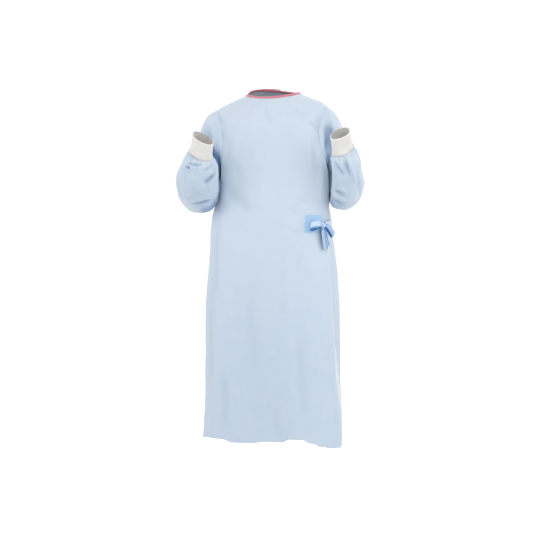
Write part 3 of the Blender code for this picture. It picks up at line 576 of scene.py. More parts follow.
def node_group(name, family, inputs, outputs):
    """An empty node group with named inputs and outputs."""
    group = bpy.data.node_groups.new(name, family)
    for label, kind, value in inputs:
        socket = group.interface.new_socket(label, in_out="INPUT", socket_type="NodeSocket" + kind)
        if value is not None:
            socket.default_value = value
    for label, kind in outputs:
        group.interface.new_socket(label, in_out="OUTPUT", socket_type="NodeSocket" + kind)
    entry = group.nodes.new("NodeGroupInput")
    leaving = group.nodes.new("NodeGroupOutput")
    return group, entry.outputs, leaving.inputs


def noise(tree, where, scale, detail, roughness=0.5):
    return add_node(tree, "ShaderNodeTexNoise", {
        "Vector": where, "Scale": scale, "Detail": detail, "Roughness": roughness})["Fac"]


def mixed(tree, share, first, second):
    """A mix of two colours, each a socket or a colour."""
    return add_node(tree, "ShaderNodeMix", {0: share, 6: first, 7: second}, data_type="RGBA")[2]


def new_material(name, bump, distance, numbers):
    """A material with a relief, and numbers for the shader's own sockets."""
    made = bpy.data.materials.new(name)
    made.use_nodes = True
    tree = made.node_tree
    shader = tree.nodes["Principled BSDF"].inputs
    for label, value in numbers.items():
        shader[label].default_value = value
    relief = tree.nodes.new("ShaderNodeBump")
    relief.inputs["Strength"].default_value = bump
    relief.inputs["Distance"].default_value = distance
    tree.links.new(relief.outputs["Normal"], shader["Normal"])
    return made, tree, shader, relief.inputs["Height"]


def make_felt_group():
    group, given, out = node_group("bonded_felt", "ShaderNodeTree", [
        ("Colour", "Color", (0.6, 0.7, 0.85, 1.0)), ("Deep Colour", "Color", (0.5, 0.6, 0.8, 1.0)),
        ("Painted Shade Colour", "Color", (0.3, 0.47, 0.75, 1.0)), ("Painted Shade", "Float", 0.0),
        ("Point Pitch", "Float", 0.0014)], SURFACE_OUTPUTS)
    place = add_node(group, "ShaderNodeTexCoord", {})
    cloudy = noise(group, place["Object"], 26.0, 3.0, 0.55)
    fibres = noise(group, place["Object"], 420.0, 4.0, 0.65)
    flat = add_node(group, "ShaderNodeSeparateXYZ", {0: place["UV"]})
    across = maths(group, "DIVIDE", flat[0], given["Point Pitch"])
    down = maths(group, "DIVIDE", flat[1], given["Point Pitch"])
    diagonal = maths(group, "MULTIPLY", maths(group, "ADD", across, down), math.pi)
    counter = maths(group, "MULTIPLY", maths(group, "SUBTRACT", across, down), math.pi)
    points = maths(group, "MULTIPLY", maths(group, "COSINE", diagonal),
                   maths(group, "COSINE", counter))
    pressed = maths(group, "SMOOTH_MIN", maths(group, "ABSOLUTE", points), 0.6, 0.2)
    height = maths(group, "MULTIPLY_ADD", fibres, 0.55, maths(group, "MULTIPLY", pressed, -0.8))
    shade = maths(group, "MULTIPLY_ADD", cloudy, 0.8, maths(group, "MULTIPLY", fibres, 0.35))
    shade = maths(group, "SUBTRACT", shade, 0.1)
    cloth = mixed(group, shade, given["Colour"], given["Deep Colour"])
    # Painted shade: the shade colour mixed in as far as each point is given painted shade.
    group.links.new(mixed(group, given["Painted Shade"], cloth, given["Painted Shade Colour"]), out["Colour"])
    group.links.new(height, out["Height"])
    group.links.new(maths(group, "MULTIPLY_ADD", fibres, 0.15, 0.72), out["Roughness"])
    return group


FELT = make_felt_group()


def point_value(tree, label):
    return add_node(tree, "ShaderNodeAttribute", {}, attribute_name=label)["Fac"]


def felt_material(name, colour, deep_colour, shade_colour, pitch=0.0011, sheen=0.15):
    """Non-woven cloth in a colour, with painted shade and a painted highlight along a free edge."""
    made, tree, shader, relief = new_material(name, 0.35, 0.00025, {
        "Specular IOR Level": 0.3, "Sheen Weight": sheen, "Sheen Roughness": 0.5,
        "Subsurface Weight": 0.12, "Subsurface Radius": (0.004, 0.006, 0.010)})
    # The shade attribute paints shade into the cloth's colour.
    felt = add_node(tree, "ShaderNodeGroup", {
        "Colour": colour + (1.0,), "Deep Colour": deep_colour + (1.0,), "Point Pitch": pitch,
        "Painted Shade Colour": shade_colour + (1.0,), "Painted Shade": point_value(tree, "shade")},
                    node_tree=FELT)
    # A painted highlight mixed in along a free edge.
    shown = mixed(tree, point_value(tree, "selvedge"), felt["Colour"], EDGE_HIGHLIGHT_COLOUR)
    tree.links.new(shown, shader["Base Color"])
    tree.links.new(felt["Roughness"], shader["Roughness"])
    tree.links.new(felt["Height"], relief)
    return made


PALE_BLUE = felt_material("pale_blue_nonwoven", (0.638, 0.723, 0.819), (0.580, 0.678, 0.787),
                          (0.135, 0.275, 0.490), 0.0014, 0.35)


def body_panel(node, grid, angle, lift, cut, area, rests_on=(), **layers):
    """One panel of the body, from shoulder to hem, with its edges moved by lift."""
    grid = grid + grid_normals(grid) * lift[..., None]
    panel = cloth_sheet("gown_" + node, grid, shade=body_shade(angle, rows), **layers)
    add_wall(panel, CLOTH_WALL)
    add_piece(panel, "nonwoven", PALE_BLUE, node + "_shoulder", node + "_chest",
              node + "_waist", node + "_skirt")


rows, cuts = panel_rows()
seam_angle = SIDE_SEAM - math.degrees(SEAM_GAP / 2.0 / SEAM_RADIUS)
front_side = 2.0 * edge_columns(FRONT_COLUMNS, FRONT_WIDTH) - 1.0
front_angle = seam_angle * front_side - ARMHOLE_FRONT * cuts * front_side ** 3
front_grid = body_surface(front_angle, rows)
across, _ = grid_lengths(front_grid)
from_seam = np.minimum(across, across[:, -1:] - across)
body_panel("front_panel", front_grid, front_angle, seam_roll(from_seam), FRONT_CUT,
           FRONT_CUT_AREA)


# ================================================================== back panels
# Two halves of the same cloth. The wearer's left half is the inner layer and
# ends past the middle of the back. The right half lies over it, wraps round
# the wearer's left side and ends in a free edge behind the front crest.
LAP_NECK = 0.006
LAP_BODY = 0.0055
LAP_HEM = 0.008
# row, angle of the outer panel's free edge, angle of the inner panel's edge,
# and how far the outer panel stands off at the wearer's left side
WRAP = np.array([
    (0, 165, 196, 0.006), (4, 160, 199, 0.004), (7, 152, 203, 0.004), (9, 140, 206, 0.004),
    (10, 126, 208, 0.004), (11, 106, 210, 0.004), (12, 86, 213, 0.004), (13, 76, 216, 0.005),
    (14, 77, 218, 0.020), (15, 78, 221, 0.025), (16, 79, 223, 0.028), (17, 80, 225, 0.023),
    (18, 80, 226, 0.021), (19, 79, 227, 0.016), (20, 79, 228, 0.012), (21, 79, 229, 0.010),
])
SIDE_BULGE_ANGLE = 96.0
SIDE_BULGE_END = 150.0
EDGE_CURL = 0.0044           # the free edge of the outer panel curls in
EDGE_CURL_WIDTH = 0.012
# A painted highlight along the outer panel's free edge, wider towards the hem.
EDGE_HIGHLIGHT_WIDTH = 0.008
EDGE_HIGHLIGHT_GROWTH = 0.040      # how much wider the painted highlight grows towards the hem
INNER_WIDTH = 0.40
INNER_COLUMNS = 92
OUTER_WIDTH = 0.66
OUTER_COLUMNS = 138
INNER_CUT = (0.57, 1.33)
INNER_CUT_AREA = 0.555
OUTER_CUT = (0.79, 1.34)
OUTER_CUT_AREA = 0.766


def wrap_value(row, column):
    return np.interp(row, WRAP[:, 0], WRAP[:, column])


def outer_stand_off(angle, row):
    """How far the outer panel lies off the body; angle -90 down to -290."""
    left_angle = 360.0 + angle
    edge = wrap_value(row, 1)
    stand_off = wrap_value(row, 3)
    tucked = LAP_BODY + (stand_off - LAP_BODY) * smooth(left_angle, edge - 3.0, SIDE_BULGE_ANGLE)
    lap = LAP_NECK + (LAP_BODY - LAP_NECK) * smooth(row, 0.0, 2.5)
    lap = lap + (LAP_HEM - LAP_BODY) * smooth(row, WAIST_ROW, HEM_ROW)
    from_seam = smooth(-angle, SIDE_SEAM + 2.0, SIDE_SEAM + 42.0)
    bulge = 1.0 - smooth(left_angle, SIDE_BULGE_ANGLE, SIDE_BULGE_END)
    open_side = lap * from_seam + (stand_off - lap) * bulge
    return np.where(left_angle < SIDE_BULGE_ANGLE, tucked, open_side)


inner_shares = edge_columns(INNER_COLUMNS, INNER_WIDTH)
inner_start = 2.0 * SIDE_SEAM - seam_angle
inner_angle = inner_start + (wrap_value(rows, 2) - inner_start) * inner_shares
inner_angle = inner_angle + ARMHOLE_BACK * cuts * (1.0 - inner_shares) ** 2.5
inner_grid = body_surface(inner_angle, rows)
across, _ = grid_lengths(inner_grid)
body_panel("back_panel_left", inner_grid, inner_angle, seam_roll(across), INNER_CUT,
           INNER_CUT_AREA, ["gown_front_panel"])

outer_shares = edge_columns(OUTER_COLUMNS, OUTER_WIDTH)
outer_angle = -inner_start + (wrap_value(rows, 1) - 360.0 + inner_start) * outer_shares
outer_angle = outer_angle - ARMHOLE_BACK * cuts * (1.0 - outer_shares) ** 2.5
outer_angle = outer_angle[:, ::-1]
outer_grid = body_surface(outer_angle, rows, outer_stand_off(outer_angle, rows))
across, _ = grid_lengths(outer_grid)
curl = -EDGE_CURL * np.exp(-(across / EDGE_CURL_WIDTH) ** 2)
outer_lift = seam_roll(across[:, -1:] - across) + curl
lifted = outer_grid + grid_normals(outer_grid) * outer_lift[..., None]
# The painted highlight along the outer panel's free edge.
selvedge_width = EDGE_HIGHLIGHT_WIDTH + EDGE_HIGHLIGHT_GROWTH * smooth(-lifted[..., 2], 0.85, 1.25)
body_panel("back_panel_right", outer_grid, outer_angle, outer_lift, OUTER_CUT, OUTER_CUT_AREA,
           ["gown_back_panel_left"], selvedge=smooth(selvedge_width - across, 0.0, 0.003))


# ================================================================== sleeves
# One piece each, set into the armhole and gathered into the cuff. The forearm
# is folded up and forward, so the cloth hangs full below it like a balloon.
# From the armhole on: x out, z out, x in, z in, y crook, z crook, y far, z far and how far
# the far line hangs in towards the body, in millimetres, and how square the tube is there.
LEFT_SLEEVE = np.array([
    (206, -54, 205, -265, -66, -150, 88, -150, 0, 0.0),
    (234, -80, 204.5, -270, -72, -165, 86, -160, 0, 0.0),
    (257, -126, 204.5, -275.5, -74, -195, 83, -190, 0, 0.0),
    (275, -182, 204.5, -282.5, -73, -228, 80, -228, 2, 0.02),
    (289, -236, 205.5, -292, -71, -256, 78, -266, 6, 0.06),
    (303, -282, 206.5, -304, -70, -276, 76, -312, 10, 0.10),
    (314, -318, 208, -320, -71.5, -284, 60, -362, 14, 0.14),
    (323.5, -338, 209.5, -332, -74, -288, 18, -404, 18, 0.18),
    (329, -350, 212, -338, -78, -288, -40, -424, 22, 0.18),
    (329.8, -348, 216, -339, -84, -284, -96, -422, 24, 0.18),
    (327, -334, 216.5, -330, -93, -274, -140, -400, 22, 0.16),
    (322, -314, 216.5, -316, -105, -260, -170, -364, 16, 0.12),
    (317, -292, 215, -297, -120, -245, -190, -327, 10, 0.06),
    (313, -264, 213.5, -275, -135, -226, -201, -290, 5, 0.02),
    (302, -233, 210.8, -253, -146, -210, -205, -260, 1, 0.0),
    (287.3, -210.8, 214.6, -234.3, -150.5, -202.5, -198.5, -242.5, 0, 0.0),
])
RIGHT_SLEEVE = np.array([
    (199, -67, 185, -270.5, -66, -158, 88, -155, 0, 0.0),
    (226, -90, 184, -275.5, -72, -172, 86, -165, 0, 0.0),
    (250, -138, 183.2, -280.5, -74, -200, 83, -195, 0, 0.0),
    (269, -190, 182.8, -287, -73, -232, 80, -232, 0, 0.02),
    (284, -242, 182.6, -296.5, -71, -260, 78, -270, 1, 0.06),
    (301, -284, 182.6, -308, -70, -282, 76, -318, 2, 0.10),
    (315, -318, 182.8, -323, -71.5, -292, 60, -370, 3, 0.14),
    (325, -336, 183.2, -335, -74, -297, 18, -414, 4, 0.18),
    (334, -346, 183.6, -342, -78, -298, -40, -434, 6, 0.18),
    (335.5, -342, 184, -342, -84, -294, -96, -433, 9, 0.18),
    (334, -330, 185.5, -334, -93, -284, -140, -411, 9, 0.16),
    (329.5, -312, 186, -316, -105, -270, -170, -375, 7, 0.12),
    (320, -292, 186, -298, -120, -256, -190, -339, 2, 0.06),
    (311, -270, 188, -280, -135, -240, -201, -303, 1, 0.02),
    (298, -246, 196.8, -264, -146, -225, -205, -274, 0, 0.0),
    (283.8, -224.8, 206.6, -250.3, -150.5, -217.5, -198.5, -257.5, 0, 0.0),
])
LEFT_SLEEVE[:, :9] /= 1000.0
RIGHT_SLEEVE[:, :9] /= 1000.0
ARM_SQUARENESS = 0.88
SLEEVE_COLUMNS = 200
# rows down the sleeve in rings, closer together near both seams
SLEEVE_STEPS = np.concatenate([
    [0.0, 0.02, 0.05, 0.09, 0.15, 0.25, 0.4, 0.6, 0.8], np.linspace(1.0, 15.6, 176),
    [15.75, 15.84, 15.91, 15.96, 16.0]])
SLEEVE_CREASE_STRENGTH = 2.0
# painted shade in the sleeve's creases
SLEEVE_CREASE_SHADE = 0.27
SLEEVE_CRUMPLE = 1.9
CUFF_GATHERS = (0.046, 0.0046)       # how far they reach, and how high they stand
ARMHOLE_GATHERS = (0.022, 0.0008)
# Painted shade: on the front of the forearm, in the hollow behind it and on the sleeve's side
# towards the body.
FOREARM_SHADE = 0.17
HOLLOW_SHADES = {1: 0.30, -1: 0.80}  # behind the forearm, by side
BODY_SIDE_SHADES = {1: 0.14, -1: 0.50}
# Where the painted shade of the hollow between the upper arm and the folded forearm
# begins, measured outward at heights from the armpit down.
HOLLOW_HEIGHTS = (0.10, 0.196, 0.228, 0.258, 0.278, 0.34)
HOLLOW_EDGES = {1: (0.200, 0.188, 0.192, 0.200, 0.203, 0.206),
                -1: (0.216, 0.200, 0.188, 0.172, 0.168, 0.168)}
RIGHT_SLEEVE_CREASES = {
    "front": [
        # the hollow between the upper arm and the cuff
        (-224, -180, -208, -225, -186, -262, 12, -12, 0.4, -0.5),
        # under the cuff, where the gathers end in a fold across
        (-306, -262, -258, -278, -206, -258, 10, -6, 0.5, -0.7),
        (-303, -278, -294.5, -284, -286, -290, 5, -8, 0.7, -0.4),
        (-190, -262, -212, -285, -246, -302, 10, -5, 0.5, 0.5),
        (-190, -306, -212, -328, -238, -346, 9, -8.5, 0.6, 0.6),
        (-326, -350, -316, -382, -300, -404, 7, -8, 0.7, 0.5),
        (-290, -410, -252, -407, -200, -393, 6, -9.5, 0.8, 0.5),
        (-276, -300, -266, -340, -270, -390, 18, 4, 0.2, 0),
    ],
    "right": [
        # outer side of the arm and elbow
        (50, -130, 10, -200, -40, -240, 12, -5.5, 0.4, 0.5),
        (60, -210, 20, -270, -50, -290, 12, -6, 0.5, 0.5),
        (60, -290, 0, -320, -70, -320, 12, 5, 0.3, 0),
        (40, -350, -20, -370, -100, -350, 11, -5.5, 0.4, 0.5),
        (-80, -400, -120, -370, -160, -310, 12, -5, 0.4, 0.5),
        (-50, -250, -90, -285, -110, -330, 9, -6, 0.6, 0.4),
    ],
    "back": [
        # behind the elbow and upper arm
        (-210, -150, -240, -200, -250, -270, 12, -5, 0.4, 0.4),
        (-220, -260, -262, -300, -290, -320, 11, -5.5, 0.5, 0.5),
        (-210, -330, -250, -360, -300, -360, 11, -5, 0.5, 0.5),
    ],
    "left": [
        # the body side
        (30, -360, -30, -385, -90, -370, 11, -3, 0.5, 0.5),
        (55, -232, 57, -300, 55, -368, 16, 8.5, 0, 0),
    ],
}
LEFT_SLEEVE_CREASES = {
    "front": [
        (196, -110, 207, -160, 214, -225, 16, -13, 0.2, 0.2),
        (206, -244, 258, -240, 306, -250, 10, -5.5, 0.5, -0.7),
        (214, -252, 236, -284, 262, -316, 8, -6, 0.6, 0.5),
        (258, -250, 268, -284, 284, -322, 6, -6.5, 0.7, 0.5),
        (272, -262, 282, -300, 298, -340, 10, 4, 0.3, 0),
        (210, -390, 234, -400, 262, -414, 5, -9, 0.8, 0.5),
        (206, -376, 238, -385, 270, -400, 6, 4, 0.4, 0),
        (214, -362, 240, -368, 262, -380, 6, -6, 0.6, 0.5),
        (302, -290, 312, -330, 306, -380, 10, -4, 0.4, 0.4),
        (236, -350, 256, -366, 262, -380, 9, 3.5, 0.3, 0),
    ],
    "left": [
        (50, -120, 14, -190, -40, -232, 12, -5.5, 0.4, -0.5),
        (64, -200, 16, -262, -46, -280, 12, -6, 0.5, -0.5),
        (58, -284, 4, -306, -70, -310, 12, 5, 0.3, 0),
        (44, -344, -24, -362, -96, -342, 11, -5.5, 0.4, -0.5),
        (-84, -392, -124, -356, -160, -300, 12, -5, 0.4, -0.5),
        (-54, -242, -90, -272, -114, -320, 9, -6, 0.6, -0.4),
    ],
    "back": [
        (216, -140, 244, -196, 252, -262, 12, -5, 0.4, -0.4),
        (226, -250, 262, -292, 290, -310, 11, -5.5, 0.5, -0.5),
        (218, -322, 252, -352, 300, -352, 11, -5, 0.5, -0.5),
    ],
    "right": [
        (30, -350, -34, -372, -90, -360, 11, -3, 0.5, -0.5),
        (55, -228, 57, -296, 55, -362, 16, 6, 0, 0),
    ],
}


def arm_points(rings, turns, side):
    """Points round sleeve rings; side is +1 for the wearer's left arm."""
    a = np.radians(turns)[None, :, None]
    out_x, out_z, in_x, in_z, crook_y, crook_z, far_y, far_z, hang, corner = rings.T
    middle_x = (out_x + in_x) / 2.0
    middle_y = (crook_y + far_y) / 2.0
    out = np.stack([out_x, middle_y, out_z], -1)[:, None]
    into = np.stack([in_x, middle_y, in_z], -1)[:, None]
    crook = np.stack([middle_x, crook_y, crook_z], -1)[:, None]
    far = np.stack([middle_x - hang, far_y, far_z], -1)[:, None]
    low_inside = (np.cos(a) < 0.0) & (np.sin(a) < 0.0)
    squareness = ARM_SQUARENESS - np.where(low_inside, corner[:, None, None], 0.0)
    found = (out + into + crook + far) / 4.0 + (out - into) / 2.0 * power(np.cos(a), squareness)
    found = found + (crook - far) / 2.0 * power(np.sin(a), squareness)
    found = found + (out + into - crook - far) / 4.0 * np.cos(2.0 * a)
    return found * (side, 1.0, 1.0)


def armhole_points(turns, side):
    """The body's cut edge round the armhole, shoulder first."""
    a = np.radians(turns)
    down = np.where(turns <= 180.0, turns, 360.0 - turns)
    row = TIP_ROW + (UNDERARM_ROW - TIP_ROW) * (1.0 - np.cos(np.radians(down))) / 2.0
    angle = SIDE_SEAM - np.where(np.sin(a) >= 0, ARMHOLE_FRONT, ARMHOLE_BACK) * np.sin(a)
    under_outer = (side < 0) & (angle > SIDE_SEAM)
    stand_off = np.where(under_outer, outer_stand_off(-angle, row), 0.0)
    return body_surface(side * angle, row, stand_off)


def gathers(turns, distance, seed, reach, height):
    """Uneven small pleats that die away with the distance from a seam."""
    chance = np.random.default_rng(seed)
    a = np.radians(turns)[None, :]
    total = np.zeros((distance.shape[0], len(turns)))
    for waves in (9, 13, 17, 22):
        turn = chance.uniform(0.0, 2.0 * math.pi)
        drift = chance.uniform(-12.0, 12.0)
        length = reach * 13.0 / waves
        fade = np.exp(-(distance / length) ** 1.5)
        total += np.cos(waves * a + turn + drift * distance) * fade
    return total * height / 2.0


def sleeve_shade(points, normals, to_cuff, side):
    """Painted shade where the body and the folded forearm take the light from the cloth."""
    behind = smooth(points[..., 1], -0.150, -0.100)
    towards_body = smooth(-side * normals[..., 0], 0.25, 0.90)
    low = smooth(-points[..., 2], 0.16, 0.26)
    x = side * points[..., 0]
    edge = np.interp(-points[..., 2], HOLLOW_HEIGHTS, HOLLOW_EDGES[side])
    facing = smooth(-normals[..., 1], -0.2, 0.3)
    hollow = behind * facing * smooth(x - edge, -0.002, 0.009) * smooth(0.262 - x, 0.0, 0.03)
    hollow = hollow * smooth(-points[..., 2], 0.10, 0.21)
    beside = 0.08 + BODY_SIDE_SHADES[side] * behind
    forearm = smooth(-points[..., 2], 0.23, 0.30) * smooth(to_cuff, 0.010, 0.045)
    forearm = FOREARM_SHADE * forearm * smooth(-normals[..., 1], 0.15, 0.85)
    return towards_body * low * beside + HOLLOW_SHADES[side] * hollow + forearm


def set_in_sleeve(side_name, rings, side, creases, seed):
    turns = np.arange(SLEEVE_COLUMNS) * 360.0 / SLEEVE_COLUMNS
    edge = armhole_points(turns, side)
    first = arm_points(rings[:1], turns, side)[0]
    edge = edge + unit(first - edge) * SEAM_GAP
    control = np.concatenate([edge[None], arm_points(rings, turns, side)])
    grid = through(control, SLEEVE_STEPS)
    if side > 0:
        grid = grid[:, ::-1]
        turns = turns[::-1]
    normal = grid_normals(grid, closed=True)
    _, down = grid_lengths(grid)
    to_cuff = down[-1:] - down
    free = smooth(down, 0.0, 0.03) * smooth(to_cuff, 0.0, 0.03)
    folded = crease_height(grid, normal, creases) * free
    height = SLEEVE_CREASE_STRENGTH * folded
    height += SLEEVE_CRUMPLE * crumple(grid * 1.3, seed) * smooth(down, 0.0, 0.02)
    height += gathers(turns, to_cuff, seed, *CUFF_GATHERS) * smooth(to_cuff, 0.0, 0.012)
    height += gathers(turns, down, seed + 7, *ARMHOLE_GATHERS) * smooth(down, 0.0, 0.006)
    height += seam_roll(down) + seam_roll(to_cuff) * 0.6
    # Painted shade in the creases and where the body and the forearm hide the light.
    shade = SLEEVE_CREASE_SHADE * smooth(-folded, 0.0010, 0.008)
    shade = shade + sleeve_shade(grid, normal, to_cuff, side)
    name = f"sleeve_{side_name}"
    sleeve = cloth_sheet("gown_" + name, grid + normal * height[..., None], True, shade=shade)
    add_wall(sleeve, CLOTH_WALL)
    add_piece(sleeve, "nonwoven", PALE_BLUE, name + "_upper", name + "_elbow", name + "_forearm")


set_in_sleeve("left", LEFT_SLEEVE, 1, LEFT_SLEEVE_CREASES, 31)
set_in_sleeve("right", RIGHT_SLEEVE, -1, RIGHT_SLEEVE_CREASES, 47)


# ================================================================== knit cuffs
# A short tube of white ribbed knit on each wrist, stretched a little over it.
# The sleeve is gathered to its lower end, and the two are overlocked together
# with a band of white thread. The free end is the knit's own folded edge.
# The rings are given like those of a sleeve.
LEFT_CUFF = np.array([
    (287.3, -210, 214.6, -233.5, -151, -201.7, -199, -241.7),
    (279.5, -191, 212.8, -214, -169, -185, -214, -221.5),
    (275.2, -173, 209.2, -195, -185, -166, -230, -202.5),
    (273.2, -155.5, 205.9, -176.3, -199, -147, -245, -185),
]) / 1000.0
RIGHT_CUFF = np.array([
    (283.8, -224, 206.6, -249.5, -151, -216.7, -199, -256.7),
    (277.5, -206, 205.8, -232.5, -169, -200, -214, -237),
    (274.2, -187, 203, -215, -185, -182, -230, -219),
    (272.2, -167.2, 200.4, -197.4, -199, -164, -245, -201.5),
]) / 1000.0
CUFF_RIBS = 64
COLUMNS_PER_RIB = 6
CUFF_SLACK = 0.0010
CUFF_EDGE_TURN = 0.0015      # the free edge turns in
CUFF_PUCKERS = 23            # round the end that is sewn on
PUCKER_HEIGHT = 0.0006
CUFF_WALL = 0.0014
CUFF_STEPS = np.concatenate([[0.0, 0.02, 0.045, 0.075], np.linspace(0.12, 2.88, 26),
                             [2.925, 2.955, 2.98, 3.0]])
RIB_HEIGHT = 0.0009
RIB_UNEVENNESS = 0.0006
WALE_PITCH = 0.0017
COURSE_PITCH = 0.0011
OVERLOCK_WIDTH = 0.0065
OVERLOCK_COLUMNS = 240
OVERLOCK_ROWS = 9
OVERLOCK_LIFT = 0.0021       # of the band over the sleeve's end
OVERLOCK_BULGE = 0.0004
OVERLOCK_FRILLS = 41
OVERLOCK_WALL = 0.0008
OVERLOCK_PITCH = 0.0012
OVERLOCK_STITCH = {
    "Stitch Length": 0.0066, "Thread Radius": 0.00042, "Rise": 0.0003,
    "Slant": math.radians(76.0), "Unevenness": 0.10, "Seed": 5}


def geometry_tree(name, inputs):
    """An empty geometry tree that takes a material and the named inputs."""
    taken = [("Geometry", "Geometry", None), ("Material", "Material", None)] + inputs
    return node_group(name, "GeometryNodeTree", taken, [("Geometry", "Geometry")])


def attribute(tree, name, kind="FLOAT"):
    return add_node(tree, "GeometryNodeInputNamedAttribute", {"Name": name},
                    data_type=kind)["Attribute"]


def finish_tree(tree, geometry, given, out):
    """Real geometry, smooth and in the given material, out of the tree."""
    real = add_node(tree, "GeometryNodeRealizeInstances", {"Geometry": geometry})
    smoothed = add_node(tree, "GeometryNodeSetShadeSmooth", {"Geometry": real["Geometry"]})
    paint = add_node(tree, "GeometryNodeSetMaterial", {
        "Geometry": smoothed["Geometry"], "Material": given["Material"]})
    tree.links.new(paint["Geometry"], out["Geometry"])
    return tree


def run_tree(holder, tree, values):
    """Turns the holder into what the tree makes of it, kept as a plain mesh."""
    maker = holder.modifiers.new(tree.name, "NODES")
    maker.node_group = tree
    for socket in tree.interface.items_tree:
        if socket.in_out == "INPUT" and socket.name in values:
            maker[socket.identifier] = values[socket.name]
    bpy.context.view_layer.update()
    seen = holder.evaluated_get(bpy.context.evaluated_depsgraph_get())
    mesh = bpy.data.meshes.new_from_object(seen)
    holder.modifiers.remove(maker)
    bare = holder.data
    holder.data = mesh
    bpy.data.meshes.remove(bare)


def knit_ribs_tree():
    """Raises lengthwise ribs on a tube that carries its turn and its fade."""
    tree, given, out = geometry_tree("knit_ribs", [])
    turn = maths(tree, "MULTIPLY", attribute(tree, "turn"), 2.0 * math.pi)
    wave = maths(tree, "COSINE", maths(tree, "MULTIPLY", turn, float(CUFF_RIBS)))
    rounded = maths(tree, "POWER", maths(tree, "MULTIPLY_ADD", wave, 0.5, 0.5), 0.7)
    ribs = maths(tree, "MULTIPLY", rounded, RIB_HEIGHT)
    place = add_node(tree, "GeometryNodeInputPosition", {})[0]
    texture = add_node(tree, "ShaderNodeTexNoise", {"Vector": place, "W": 3.0, "Scale": 90.0},
                       noise_dimensions="4D")
    uneven = maths(tree, "SUBTRACT", texture[0], 0.5)
    height = maths(tree, "MULTIPLY_ADD", uneven, RIB_UNEVENNESS, ribs)
    height = maths(tree, "MULTIPLY", height, attribute(tree, "fade"))
    normal = add_node(tree, "GeometryNodeInputNormal", {})[0]
    push = add_node(tree, "ShaderNodeVectorMath", {0: normal, "Scale": height}, operation="SCALE")
    move = add_node(tree, "GeometryNodeSetPosition", {
        "Geometry": given["Geometry"], "Offset": push[0]})
    return finish_tree(tree, move["Geometry"], given, out)


def stitches_tree():
    """One arched thread at every point, turned along the seam."""
    tree, given, out = geometry_tree("stitch_row", [
        ("Stitch Length", "Float", 0.0025), ("Thread Radius", "Float", 0.0002),
        ("Rise", "Float", 0.0002), ("Slant", "Float", 0.0), ("Unevenness", "Float", 0.06),
        ("Seed", "Int", 5)])
    half = maths(tree, "MULTIPLY", given["Stitch Length"], 0.5)
    start = add_node(tree, "ShaderNodeCombineXYZ", {0: maths(tree, "MULTIPLY", half, -1.0)})
    rise = maths(tree, "MULTIPLY", given["Rise"], 2.0)
    middle = add_node(tree, "ShaderNodeCombineXYZ", {2: rise})
    end = add_node(tree, "ShaderNodeCombineXYZ", {0: half})
    arch = add_node(tree, "GeometryNodeCurveQuadraticBezier", {
        "Resolution": 5, "Start": start[0], "Middle": middle[0], "End": end[0]})
    ring = add_node(tree, "GeometryNodeCurvePrimitiveCircle", {
        "Resolution": 5, "Radius": given["Thread Radius"]})
    thread = add_node(tree, "GeometryNodeCurveToMesh", {
        "Curve": arch[0], "Profile Curve": ring[0], "Fill Caps": True})
    lie = add_node(tree, "FunctionNodeAlignRotationToVector", {
        "Vector": attribute(tree, "outward", "FLOAT_VECTOR")}, axis="Z")
    face = add_node(tree, "FunctionNodeAlignRotationToVector", {
        "Rotation": lie["Rotation"], "Vector": attribute(tree, "along", "FLOAT_VECTOR")},
                    axis="X", pivot_axis="Z")
    lowest = maths(tree, "MULTIPLY", given["Unevenness"], -1.0)
    wander = add_node(tree, "FunctionNodeRandomValue", {
        2: lowest, 3: given["Unevenness"], "Seed": given["Seed"]}, data_type="FLOAT")
    slant = add_node(tree, "FunctionNodeAxisAngleToRotation", {
        "Axis": (0.0, 0.0, 1.0), "Angle": maths(tree, "ADD", given["Slant"], wander[1])})
    turned = add_node(tree, "FunctionNodeRotateRotation", {
        "Rotation": face["Rotation"], "Rotate By": slant["Rotation"]}, rotation_space="LOCAL")
    place = add_node(tree, "GeometryNodeInstanceOnPoints", {
        "Points": given["Geometry"], "Instance": thread[0], "Rotation": turned["Rotation"]})
    return finish_tree(tree, place["Instances"], given, out)


KNIT_RIBS = knit_ribs_tree()
STITCH_ROW = stitches_tree()


def at_distance(at, run, table):
    """Rows of a table at distances along its run."""
    return np.stack([np.interp(at, run, column) for column in table.T], -1)


def stitch_row(name, path, outward, material, slot, pitch, values, closed=False):
    """A row of stitches along a path of points with their outward directions."""
    if closed:
        path = np.concatenate([path, path[:1]])
        outward = np.concatenate([outward, outward[:1]])
    run = np.concatenate([[0.0], np.cumsum(np.linalg.norm(np.diff(path, axis=0), axis=1))])
    count = max(int(run[-1] / pitch), 2)
    at = (np.arange(count) + (0.0 if closed else 0.5)) * run[-1] / count
    along = at_distance(at + pitch * 0.2, run, path) - at_distance(at - pitch * 0.2, run, path)
    stitches = add_mesh(name, at_distance(at, run, path), [])
    point_layer(stitches, "along", unit(along), "FLOAT_VECTOR", "vector")
    point_layer(stitches, "outward", unit(at_distance(at, run, outward)), "FLOAT_VECTOR", "vector")
    run_tree(stitches, STITCH_ROW, dict(values, Material=material))
    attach(stitches, "root")
    return stitches


